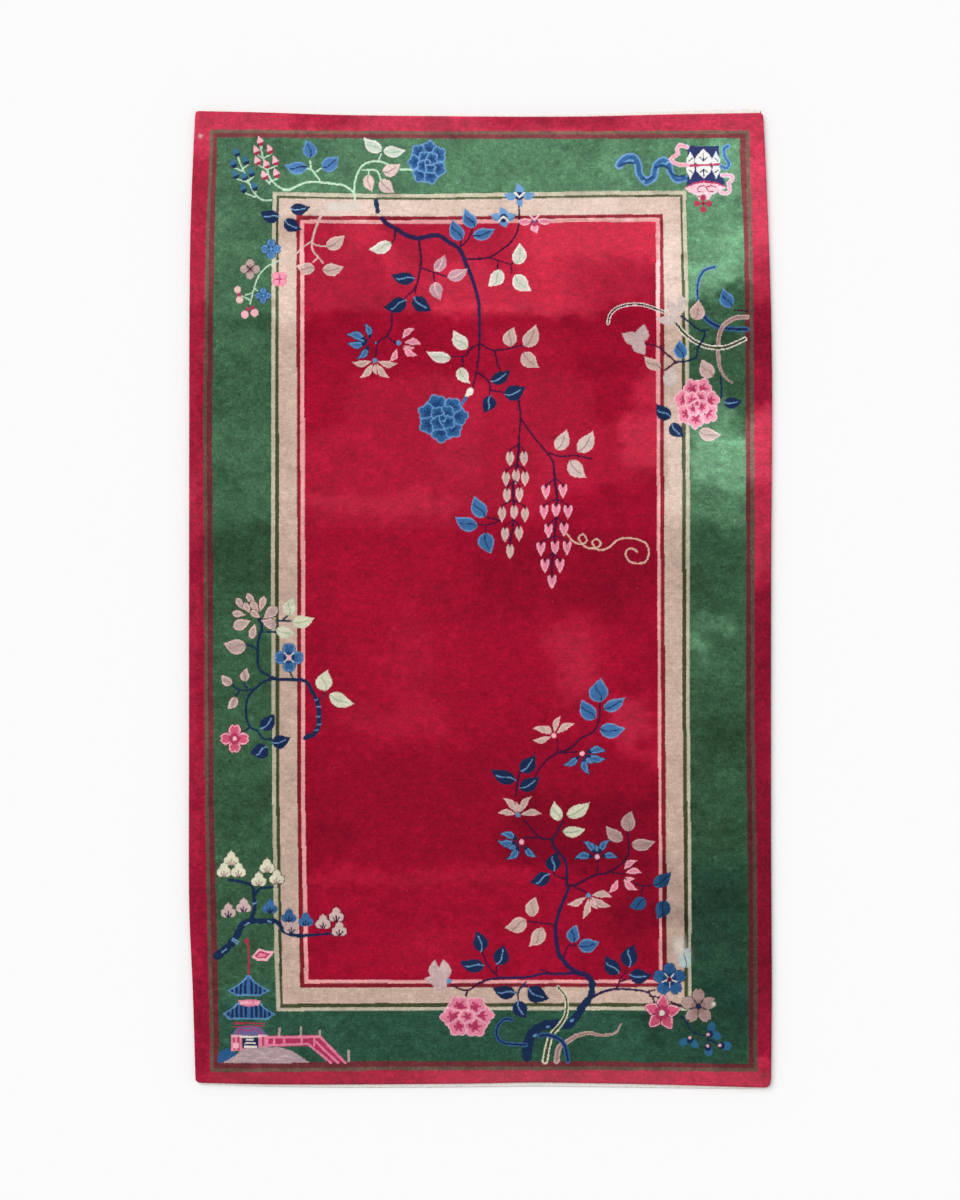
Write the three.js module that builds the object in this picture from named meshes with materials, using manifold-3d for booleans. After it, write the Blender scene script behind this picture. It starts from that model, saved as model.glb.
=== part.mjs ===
// Hand-knotted wool rug in the Chinese Art Deco manner, lying flat on a floor: one piece of knotted cloth, one solid.
// Millimetres. +Z is up and +Y runs to the far end of the design. The origin is the middle of the underside.
import * as THREE from "three";
import { mergeVertices } from "three/addons/utils/BufferGeometryUtils.js";
import Module from "manifold-3d";

// Driving dimensions
const WIDTH = 1220; // across the widest part, selvedge to selvedge
const LENGTH = 2052; // along the longest part, from one cotton end web to the other
const THICKNESS = 12; // from the floor to the tips of the pile
const FOUNDATION = 3; // the cotton ground that carries the knots and shows as a bare web at both ends
const PILE_START = 1; // height at which the knots' loops begin, inside the foundation
const EDGE_ROLL = 4; // how far the pile rounds over and under along the rim
const SELVEDGE_TUCK = 3; // how far the foundation lies back under the pile along the two long sides
const ROLL_STEPS = 3; // facets across each rounded edge
const SIDE_STEPS = 40; // facets along each long side
const END_STEPS = 30; // facets along each end
const CORNER_STEPS = 4; // facets round each corner

// The rug was woven by hand and is not square: each table gives how far an edge lies inside the overall rectangle.
// The long sides are given by their place along Y, from the near end to the far end.
const LEFT_SIDE = [
  { y: -1003, inset: 13.5 },
  { y: -900, inset: 10.5 },
  { y: -820, inset: 8 },
  { y: -735, inset: 4 },
  { y: -650, inset: 0.5 },
  { y: -300, inset: 0 },
  { y: 250, inset: 0.3 },
  { y: 600, inset: 1 },
  { y: 770, inset: 3 },
  { y: 935, inset: 9 },
  { y: 1011, inset: 13 },
];
const RIGHT_SIDE = [
  { y: -1004, inset: 2 },
  { y: -820, inset: 0.5 },
  { y: -500, inset: 2 },
  { y: 0, inset: 2 },
  { y: 450, inset: 0 },
  { y: 600, inset: 2 },
  { y: 770, inset: 7.5 },
  { y: 935, inset: 14.5 },
  { y: 1008, inset: 18.5 },
];
// The ends are given by their place along X: where the pile stops, and where the worn cotton web beyond it stops.
const NEAR_END = [
  { x: -584, pile: 13.5, web: 9.5 },
  { x: -450, pile: 10.4, web: 4.4 },
  { x: -250, pile: 10.4, web: 2.4 },
  { x: 0, pile: 12.5, web: 3.5 },
  { x: 110, pile: 14.5, web: 5 },
  { x: 250, pile: 12.5, web: 3.5 },
  { x: 400, pile: 9.3, web: 1.3 },
  { x: 500, pile: 6.2, web: 0.2 },
  { x: 594, pile: 3.5, web: 0 },
];
const FAR_END = [
  { x: -590, pile: 5, web: 3 },
  { x: -450, pile: 8, web: 5 },
  { x: -300, pile: 13, web: 9 },
  { x: -50, pile: 16, web: 11 },
  { x: 200, pile: 16.5, web: 10.5 },
  { x: 400, pile: 12, web: 4 },
  { x: 520, pile: 10, web: 1 },
  { x: 583, pile: 9, web: 0 },
];

// A smooth edge through its table's points, as evenly spaced points.
function edgePoints(points, steps) {
  return new THREE.CatmullRomCurve3(points, false, "centripetal").getSpacedPoints(steps);
}

// The rug's outline, anticlockwise from the near left corner. The long sides are drawn in by tuck, and the column
// says which edge of the ends is followed.
function outline(tuck, column) {
  const sidePoints = (table, sign) =>
    table.map(({ y, inset }) => new THREE.Vector3(sign * (WIDTH / 2 - inset - tuck), y, 0));
  const endPoints = (table, sign) =>
    table.map((row) => new THREE.Vector3(row.x, sign * (LENGTH / 2 - row[column]), 0));
  const edges = [
    edgePoints(endPoints(NEAR_END, -1), END_STEPS),
    edgePoints(sidePoints(RIGHT_SIDE, 1), SIDE_STEPS),
    edgePoints(endPoints(FAR_END, 1).reverse(), END_STEPS),
    edgePoints(sidePoints(LEFT_SIDE, -1).reverse(), SIDE_STEPS),
  ];
  const points = [];
  edges.forEach((edge, i) => {
    const from = edge.at(-1);
    const to = edges[(i + 1) % edges.length][0];
    const alongEnd = i % 2 === 0;
    const corner = new THREE.Vector3(alongEnd ? to.x : from.x, alongEnd ? from.y : to.y, 0);
    const round = new THREE.QuadraticBezierCurve3(from, corner, to).getPoints(CORNER_STEPS);
    points.push(...edge, ...round.slice(1, -1));
  });
  return new THREE.Shape(points.map(({ x, y }) => new THREE.Vector2(x, y)));
}

// The pile: a slab whose rim is rounded above and below.
function pileGeometry() {
  const slab = new THREE.ExtrudeGeometry(outline(0, "pile"), {
    depth: THICKNESS - PILE_START - 2 * EDGE_ROLL,
    bevelThickness: EDGE_ROLL,
    bevelSize: EDGE_ROLL,
    bevelOffset: -EDGE_ROLL,
    bevelSegments: ROLL_STEPS,
  });
  return slab.translate(0, 0, PILE_START + EDGE_ROLL);
}

// The foundation: a thin flat sheet under the pile, tucked in at the sides and standing out as a web at the ends.
function foundationGeometry() {
  return new THREE.ExtrudeGeometry(outline(SELVEDGE_TUCK, "web"), { depth: FOUNDATION, bevelEnabled: false });
}

const wasm = await Module();
wasm.setup();

// A closed geometry as a solid that can be joined to another.
function solidOf(geometry) {
  geometry.deleteAttribute("normal");
  geometry.deleteAttribute("uv");
  const merged = mergeVertices(geometry);
  return new wasm.Manifold(
    new wasm.Mesh({
      numProp: 3,
      vertProperties: merged.attributes.position.array,
      triVerts: new Uint32Array(merged.index.array),
    }),
  );
}

// A solid back as a geometry, with its normals.
function geometryOf(solid) {
  const mesh = solid.getMesh();
  const geometry = new THREE.BufferGeometry();
  geometry.setAttribute("position", new THREE.BufferAttribute(mesh.vertProperties, 3));
  geometry.setIndex(new THREE.BufferAttribute(mesh.triVerts, 1));
  geometry.computeVertexNormals();
  return geometry;
}

// Crimson wool, dull and without any metal.
const woolPile = new THREE.MeshStandardMaterial({ color: 0xa51c3c, roughness: 0.95, metalness: 0 });

const rug = new THREE.Mesh(geometryOf(solidOf(foundationGeometry()).add(solidOf(pileGeometry()))), woolPile);
rug.name = "rug";

const part = new THREE.Group();
part.add(rug);

export default part;
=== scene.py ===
# Hand-knotted wool rug in the Chinese Art Deco manner, lying flat on a pale floor, seen from above.
# Metres, in the frame of the CAD part: +Z is up, +Y runs to the far end of the design, and the origin is
# under the middle.
import math
from collections import namedtuple

import bpy
import numpy as np
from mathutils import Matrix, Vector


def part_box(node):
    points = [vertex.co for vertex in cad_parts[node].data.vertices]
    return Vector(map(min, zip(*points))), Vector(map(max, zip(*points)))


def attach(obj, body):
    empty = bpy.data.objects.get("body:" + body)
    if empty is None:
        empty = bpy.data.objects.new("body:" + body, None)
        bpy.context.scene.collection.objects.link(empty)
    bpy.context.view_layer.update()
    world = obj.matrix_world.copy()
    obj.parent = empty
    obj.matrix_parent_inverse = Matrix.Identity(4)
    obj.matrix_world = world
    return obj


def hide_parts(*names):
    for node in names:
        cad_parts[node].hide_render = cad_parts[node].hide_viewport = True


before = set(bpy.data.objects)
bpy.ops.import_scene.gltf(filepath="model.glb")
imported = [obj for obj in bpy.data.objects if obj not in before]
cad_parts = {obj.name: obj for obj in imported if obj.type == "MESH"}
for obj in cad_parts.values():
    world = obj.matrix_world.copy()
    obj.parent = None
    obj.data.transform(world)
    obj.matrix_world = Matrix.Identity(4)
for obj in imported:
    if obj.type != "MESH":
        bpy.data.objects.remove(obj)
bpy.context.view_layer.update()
rng = np.random.default_rng(1928)

# Sizes of the cloth
KNOT = 0.00275  # pitch of the knots, both ways
COLUMNS = 444  # knots across the rug
ROWS = 738  # knots along the rug
PILE_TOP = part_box("rug")[1].z  # height of the pile's tips
RIM_HIGH = 0.008  # where the pile's rim is at its widest, from here
RIM_LOW = 0.005  # down to here
EDGE_ROLL = 0.004  # how far the pile rounds over along its rim
WEB_TOP = 0.003  # thickness of the cotton ground
BACK_HEIGHT = 0.0004  # mean height of the back over the floor
BACK_RIDGE = 0.00025  # how far the wefts' ridges rise and fall about that
BACK_LUMPS = 0.00012  # and the single knots
PILE_DROOP = 0.0005  # the pile's mean level lies this far under its highest tips
PILE_DEEPEST = 3  # no knot lies further under the mean level than this, in droops
KNOT_HEIGHT = 0.00020  # spread of the single knots' heights
KNOT_SHIFT = 0.20  # how far a knot leans out of its place, in knots
RIM_LEAN = 0.3  # share of that for the knots along the rim
WEFT_RIDGE = 0.00006  # height of the rows that the wefts press into the pile
WEFT_RUN = 30  # knots along which such a row keeps its height
SWELL = 0.00025  # slow rise and fall of the worn pile
SWELL_LUMP = 40  # knots across one swell
CARVED = 0.0010  # depth of the groove clipped round each motif

# The drawing: a sheet with x to the right and y down it, whose squares are the pixels of the photo
SQUARE = 0.0020905  # one square of the sheet on the rug
MIDDLE = (480.5, 599.0)  # the square over the rug's middle
MARGIN = 12  # squares added round a motif, because the woven grid isn't quite the sheet's
CURVE_STEP = 4.0  # squares between the points of a smooth stroke
RIM_WIDTH = 1.4  # width of the pale rim that edges a leaf or petal
LINE_WIDTH = 0.8  # width of the dark line that sets petals apart
VEIN_WIDTH = 1.15  # width of a leaf's vein
SPUR = 0.55  # half the width of the thin spur at a leaf's tip
CORE_SHARE = 0.5  # how much of a tendril's width is its dark core
LEAST_RUN = 1e-3  # smallest share along a leaf that a power is taken of
LEAST_STEP = 1e-9  # smallest squared step that is divided by

# How leaves and petals are worked, in shares of their length unless it says otherwise
HOOK_START = 0.55  # where the tip begins to turn aside
INSIDE_END = 0.93  # how far the inside's wool reaches
VEIN_END = 0.78  # how far a vein reaches
VEIN_SWAY = 0.09  # how far a vein sways, in widths of its leaf
BELL_FOOT = 0.34  # dark foot of a bell
NOTCH_DEPTH = 0.30  # notch at the top of a hanging floret
NOTCH_SLOPE = 0.9  # widening of that notch, in widths of the floret
FLORET_TWIG = (1.5, 1.3)  # width of a floret's own twig at either end, in squares
FAN_WIDTH = 0.31  # width of a fan's petal
FAN_FOOT = 0.26  # dark foot of such a petal
FAN_DOT = 2.4  # radius of the dot that the petals spread from, in squares

# Knobs on thick boughs
BOUGH_FROM = 2.0  # a twig wider than this is knobbly, in squares
BOUGH_FULL = 3.0  # by this much more it is fully so
KNOBS = 0.05  # how far the knobs stand out for each square of that
KNOB_TURN = 2.3  # radians from one point of a bough to the next

# How a single blossom is built, in shares of its radius unless it says otherwise
LOBE_MIDDLE = 0.58  # middle of a petal, which ends at 1
LOBE_WIDTH = 0.57  # half the width of a petal, times the sine of half its sector
POINT_FROM = -0.1  # where a pointed petal begins to narrow, in half lengths from its middle
POINT_BLUNT = 0.6  # power that rounds a pointed petal's sides
TIP_NOTCH = 0.88  # bottom of the notch in a petal's tip
TIP_SLOPE = 0.9  # rise of the notch's sides
FOOT_REACH = 0.44  # how far the dark foot reaches up the middle of a petal
FOOT_SLOPE = 0.7  # its fall towards the petal's sides
SPOKE_REACH = 0.46  # length of the spokes between the petals
SPOKE_WIDTHS = (1.1, 1.0)  # width of a spoke at either end, in squares
HEART_RADIUS = 0.15

# How a peony's petals differ from one another, their scalloped edge and their ragged dark heart
WOBBLE_STEP = 2.3  # radians from one petal to the next
WOBBLE_TURN = 0.08  # how far a petal is turned out of its place, in radians
WOBBLE_SIZE = 0.06  # how much larger or smaller it is
SCALLOP_LOW = 0.82  # the edge between two scallops, in sizes of the petal
SCALLOP_RISE = 0.24  # the scallops' rise over that
SCALLOP_TURN = 2.5  # half the number of scallops round a petal
HEART_SHIFT = 0.16  # how far a petal's heart lies towards the flower's middle, in sizes of the petal
HEART_SIZE = 0.46  # mean radius of the heart, in sizes of the petal
Tooth = namedtuple("Tooth", "count depth")
HEART_LOBES = Tooth(5, 0.15)
HEART_TEETH = Tooth(11, 0.08)

# A tuft of pine needles, in squares from its middle
Lobe = namedtuple("Lobe", "across down radius")
PINE_LOBES = (Lobe(0, -3.2, 4.0), Lobe(-3.2, 2.0, 4.3), Lobe(3.2, 2.0, 4.3))
PINE_TIP = (8, 4)  # from this far above the middle down to this
PINE_TIP_WIDTHS = (0.8, 5.6)
Mark = namedtuple("Mark", "across top foot")
PINE_MARKS = (Mark(-2.4, 2.4, 5.2), Mark(0, 0.6, 5.8), Mark(2.4, 2.4, 5.2))
MARK_SPREAD = 1.3  # a mark's top is this many times as far across,
MARK_GATHER = 0.6  # and its foot this many times
MARK_WIDTHS = (1.3, 1.4)

# A tiled roof, in squares
EAVE_SWEEP = 1.7  # power of the curve from the ridge out to the eave
EAVE_TUCK = 0.7  # power of the curve from the eave in to the foot
ROOF_SIDE = 2.2  # width of the pale edge at the sides
ROOF_TRIM = 1.5  # and at the ridge and the foot
TILE_PITCH = 4.4
TILE_GAP = 1.9

# Wools: sRGB colour, how strongly the painted light and shade and the fading show on them, the pale painted
# sheen that the lit nap adds, and how uneven the wool is
Wool = namedtuple("Wool", "red green blue nap bloom rough", defaults=(0.3, 0.05, 1.0))
WOOLS = {
    "carmine": Wool(154, 24, 53, 1.0, 0.036, 2.1),
    "olive": Wool(97, 75, 64, 0.7, 0.010, 2.0),
    "oxblood": Wool(101, 43, 48, 0.7, 0.010, 2.0),
    "jade": Wool(57, 91, 65, 0.95, 0.020, 2.7),
    "cream": Wool(190, 181, 159, 0.3, 0.030, 1.2),
    "moss": Wool(70, 76, 48, 0.5, 0.020, 1.5),
    "beige": Wool(202, 174, 158, 0.2, 0.090, 1.2),
    "maroon": Wool(134, 32, 46, 0.5, 0.010, 1.5),
    "salmon": Wool(230, 160, 160, 0.2, 0.140),
    "crimson": Wool(156, 12, 44, 1.0, 0.030, 1.7),
    "navy": Wool(26, 42, 78, 0.3, 0.005),
    "indigo": Wool(40, 48, 100, 0.2, 0.010),
    "ice": Wool(112, 152, 192, 0.2, 0.020),
    "blue": Wool(60, 105, 156, 0.5, 0.030),
    "sky": Wool(96, 143, 190, 0.3, 0.040),
    "marine": Wool(44, 90, 138, 0.4, 0.010),
    "deep": Wool(26, 62, 110, 0.3, 0.010),
    "teal": Wool(48, 104, 140, 0.3, 0.030),
    "ivory": Wool(236, 224, 214),
    "dew": Wool(198, 212, 197, 0.2),
    "mint": Wool(212, 206, 194, 0.2),
    "lime": Wool(217, 214, 188, 0.2),
    "sage": Wool(156, 180, 146),
    "frost": Wool(180, 204, 202),
    "pearl": Wool(208, 184, 178),
    "taupe": Wool(196, 166, 159),
    "umber": Wool(158, 122, 117),
    "peach": Wool(224, 186, 180),
    "fawn": Wool(202, 174, 170),
    "lilac": Wool(206, 188, 183, 0.1, 0.0),
    "moth": Wool(196, 168, 168),
    "mauve": Wool(180, 136, 148),
    "orchid": Wool(204, 154, 168),
    "greige": Wool(172, 140, 136),
    "ash": Wool(182, 158, 152),
    "straw": Wool(230, 188, 168),
    "blush": Wool(240, 178, 190),
    "rose": Wool(228, 132, 158),
    "coral": Wool(206, 88, 118),
    "cerise": Wool(178, 54, 94, 0.3, 0.010),
    "violet": Wool(110, 98, 146, 0.3, 0.020),
    "plum": Wool(66, 20, 56, 0.3, 0.005),
    "wine": Wool(98, 14, 42, 0.6, 0.005),
    "bough": Wool(44, 32, 74, 0.3, 0.005),
    "trunk": Wool(25, 44, 77, 0.3, 0.005),
    "rust": Wool(164, 50, 76, 0.3, 0.010),
    "rock": Wool(176, 152, 156),
    "stem": Wool(182, 212, 186),
}
INK = {name: index for index, name in enumerate(WOOLS)}
GROUNDS = ("carmine", "olive", "oxblood", "jade", "cream", "moss", "beige", "maroon", "salmon", "crimson")

# Leaves and petals of a wool: their rim, their inside, a leaf's vein, and how much fuller they are knotted
Finish = namedtuple("Finish", "rim inside vein full", defaults=(None, None, 1.0))
FINISHES = {
    "navy": Finish("navy", "navy", "ice", 1.14),
    "blue": Finish("sky", "blue", "navy", 1.08),
    "marine": Finish("marine", "marine", "navy"),
    "frost": Finish("frost", "frost", "navy"),
    "dew": Finish("ivory", "dew", "sage"),
    "mint": Finish("ivory", "mint", "sage"),
    "lime": Finish("lime", "lime", "sage"),
    "pearl": Finish("peach", "pearl", "umber"),
    "taupe": Finish("peach", "taupe", "umber"),
    "ash": Finish("peach", "ash", "umber"),
    "mauve": Finish("orchid", "mauve", "peach"),
    "greige": Finish("fawn", "greige", "umber"),
    "rose": Finish("blush", "rose", None),
}

# Outlines of leaves and petals: where they are widest, how blunt they are on either side of that, and how
# far the tip turns aside, in widths
Blade = namedtuple("Blade", "widest base tip hook")
LEAF = Blade(0.46, 2.6, 1.8, 0.34)
PETAL = Blade(0.55, 1.6, 1.6, 0.55)
CLUB = Blade(0.60, 1.8, 2.8, 0.0)
ROUND = Blade(0.50, 3.4, 3.4, 0.0)
ONION = Blade(0.36, 5.0, 1.3, 0.0)
FLORET_BLADES = {
    "bell": Blade(0.40, 2.4, 1.5, 0.0),
    "lens": Blade(0.48, 2.4, 1.8, 0.0),
    "fork": Blade(0.34, 6.0, 1.7, 0.0),
}

# Where the ground changes from one wool to the next, in squares, measured in the photo at stations along
# each side of the rug. A station on the far and near sides is given by its place across, on the left and
# right by its place down.
Lines = namedtuple("Lines", "at olive oxblood jade cream moss beige maroon salmon crimson")
LEFT = [
    Lines(150, 209.5, 213.0, 217.0, 273.0, 277.0, 279.5, 296.5, 300.5, 304.5),
    Lines(240, 205.5, 209.0, 214.0, 272.0, 276.0, 278.5, 296.3, 300.0, 304.0),
    Lines(420, 203.0, 206.6, 212.0, 271.0, 275.0, 278.8, 296.8, 300.2, 304.5),
    Lines(580, 204.0, 207.5, 213.0, 271.0, 275.0, 279.0, 297.2, 301.0, 305.0),
    Lines(800, 204.8, 208.4, 213.6, 272.3, 276.0, 279.5, 297.3, 301.0, 305.0),
    Lines(960, 208.0, 211.6, 217.5, 274.5, 279.0, 282.0, 299.5, 304.0, 308.0),
    Lines(1030, 210.0, 213.6, 219.0, 277.0, 280.5, 283.0, 301.0, 305.5, 309.5),
]
RIGHT = [
    Lines(150, 750.0, 745.8, 740.0, 685.5, 682.0, 679.5, 662.0, 658.5, 654.5),
    Lines(240, 752.5, 748.3, 743.8, 686.8, 683.0, 681.0, 663.3, 660.0, 656.0),
    Lines(290, 753.5, 749.3, 745.0, 688.3, 685.0, 682.0, 664.3, 660.0, 656.0),
    Lines(500, 754.8, 750.6, 746.2, 690.0, 686.0, 682.0, 664.2, 660.3, 657.0),
    Lines(700, 754.3, 750.4, 745.8, 689.6, 686.3, 682.4, 665.2, 661.0, 658.0),
    Lines(890, 757.2, 753.3, 748.4, 691.2, 688.2, 684.0, 666.6, 662.0, 659.0),
    Lines(1040, 757.6, 753.6, 748.6, 691.5, 688.5, 684.3, 667.0, 662.5, 659.5),
]
FAR = [
    Lines(250, 129.6, 133.0, 137.3, 191.0, 194.5, 197.0, 214.0, 218.5, 222.0),
    Lines(320, 130.6, 134.0, 138.2, 193.0, 197.0, 199.0, 215.8, 220.0, 223.3),
    Lines(430, 131.2, 134.4, 138.5, 194.0, 197.7, 199.8, 216.5, 220.0, 224.0),
    Lines(600, 131.2, 134.4, 138.7, 191.0, 195.0, 197.5, 214.5, 218.0, 222.0),
    Lines(700, 130.4, 134.0, 138.2, 190.5, 194.2, 196.5, 213.8, 217.5, 221.5),
]
NEAR = [
    Lines(270, 1072.0, 1068.6, 1062.4, 1011.3, 1008.0, 1004.0, 988.0, 983.5, 980.0),
    Lines(380, 1070.6, 1067.0, 1061.3, 1010.4, 1007.0, 1003.0, 987.5, 983.3, 980.0),
    Lines(600, 1070.2, 1066.4, 1061.3, 1010.2, 1006.5, 1003.0, 987.0, 983.2, 980.0),
    Lines(720, 1071.6, 1068.0, 1063.8, 1011.0, 1007.5, 1003.5, 987.5, 983.5, 980.0),
]

# Motifs, with places, headings and sizes read off the photo. Headings are in degrees, with 0 to the
# right and 90 up the sheet. Sizes are in squares.
# A row of Leaves is x, y, heading, length and width. A route of Twigs is its points.
Leaves = namedtuple("Leaves", "wool rows blade line", defaults=(LEAF, None))
Twigs = namedtuple("Twigs", "wool start end routes core share", defaults=(None, CORE_SHARE))
Florets = namedtuple("Florets", "wool cap shape heading length width twig joint stem places")
Fan = namedtuple("Fan", "x y wool line dot gap petals")  # each petal: heading, reach
Blossom = namedtuple("Blossom", "x y radius petals turn tip rim inside base line spoke heart")
Peony = namedtuple("Peony", "x y width height turn rings rim wool heart")
Dots = namedtuple("Dots", "wool radius places")
Patch = namedtuple("Patch", "wool points")
Boxes = namedtuple("Boxes", "wool rows")  # each row: left, right, far, near
Pines = namedtuple("Pines", "wool mark edge places")
Roof = namedtuple("Roof", "x top eave foot ridge spread base")  # the last three: half widths
Ring = namedtuple("Ring", "petals reach size")  # a ring of a peony's petals, in shares of the flower
SIMPLE = (Ring(6, 0.60, 0.42), Ring(1, 0.0, 0.30))
FULL = (Ring(7, 0.63, 0.38), Ring(4, 0.28, 0.30), Ring(1, 0.0, 0.17))

BLUE_RACEME = ((255, 194), (247, 179), (238.5, 159), (236, 150))
PINK_RACEME = ((269.5, 177), (263, 157), (260, 145), (259, 138))
FAR_LEFT_CORNER = [
    Twigs("stem", 1.8, 1.4, (
        ((271, 200), (263, 200), *BLUE_RACEME), ((289, 190), (279, 187), *PINK_RACEME),
    )),
    Twigs("stem", 2.2, 2.0, (
        ((281, 188), (288, 190), (308, 182), (336, 184), (345, 186), (354, 193), (355, 201)),
    )),
    Twigs("stem", 1.8, 1.5, (((321, 182), (311, 169), (305, 169)), ((311, 169), (310, 160.5)))),
    Twigs("stem", 1.6, 1.5, (
        ((316, 171.6), (321, 168)), ((378.6, 160.5), (381, 154)), ((368.5, 171), (368.5, 177)),
    )),
    Twigs("stem", 2.0, 1.8, (((354, 193), (354.6, 183), (359, 170), (366, 163), (377, 161), (388, 164)),)),
    Twigs("stem", 1.8, 1.6, (
        ((362, 170), (375, 170), (378.6, 173.4), (381, 181)), ((400, 169.4), (416.6, 169.7)),
    )),
    Florets(
        "teal", "navy", "bell", 112, 10.5, 6.6, "stem", 4, BLUE_RACEME,
        ((236, 152), (245.5, 160), (233, 163), (251, 172), (235, 174), (244, 176), (254, 186), (243, 188)),
    ),
    Florets("blush", "rust", "bell", 112, 10.5, 6.6, "stem", 4, PINK_RACEME, (
        (260, 141), (256, 150), (269.5, 149), (257, 160.5), (266, 164), (275, 160.5), (264, 175),
        (276, 173),
    )),
    Leaves("blue", ((296, 168, 185, 23, 11.6), (310, 149, 88, 18, 13), (331, 164, 20, 20, 14))),
    Leaves("dew", ((372, 146, 155, 22, 12), (394, 152, -10, 22, 11))),
    Leaves("pearl", ((391.6, 170, 12, 19, 12.5), (368.5, 183, -90, 17, 11), (386, 187, -60, 18, 13))),
    Peony(427.5, 162.5, 40, 44, 80, FULL, "sky", "marine", "deep"),
    Leaves("navy", (
        (269.5, 216.5, 175, 20, 11.5), (300, 209.5, -8, 19.5, 10.7), (291.7, 226, -45, 19, 12),
    )),
    Twigs("stem", 1.5, 1.3, (((278, 261), (271, 264), (264, 269), (258, 277), (254, 288), (250, 304)),)),
    Twigs("stem", 1.3, 1.3, (
        ((254, 288), (257.5, 291)), ((252, 293), (245.5, 295)), ((250, 300), (242, 296)),
    )),
    Blossom(271, 249, 10, 4, 0, "round", "sky", "blue", "blue", "navy", "navy", "sky"),
    Blossom(250, 269, 10, 4, 0, "round", "ash", "ash", "umber", "moss", "plum", "plum"),
    Blossom(279.5, 279, 8.2, 4, 45, "round", "rose", "rose", "rose", "coral", "cerise", "cerise"),
    Blossom(263, 295.5, 7.8, 4, 0, "round", "sky", "blue", "blue", "navy", "navy", "sky"),
    Dots("peach", 3.5, ((237.5, 289.6), (239.6, 299.7))),
    Dots("blush", 3.9, ((244.8, 314.5), (254.6, 312.6))),
    Dots("cerise", 2.0, ((239, 294.8), (247.6, 309), (252.6, 307.6))),
    Twigs("fawn", 3.2, 2.2, (((329, 206.5), (323, 212), (318, 222), (314, 233)),)),
    Twigs("fawn", 2.2, 1.4, (((314, 233), (312, 242), (313, 251), (319.5, 258.5), (323, 263)),)),
    Twigs("fawn", 1.4, 1.3, (
        ((312, 241), (303, 247), (297, 253)), ((312, 242), (316, 245), (326, 246.5)),
        ((317.6, 257.6), (313, 262)),
    )),
    Leaves("taupe", ((336, 243, 20, 21, 13), (333, 270, -5, 21, 12.5), (305.6, 268.7, 183, 18, 12))),
]
TAUPE_WISTERIA = ((519, 443), (517, 466), (513, 488), (514, 506), (513, 526), (510, 543))
PINK_WISTERIA = ((554, 469.5), (555, 483), (557, 496), (556, 521), (552.6, 556), (552, 576))
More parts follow.
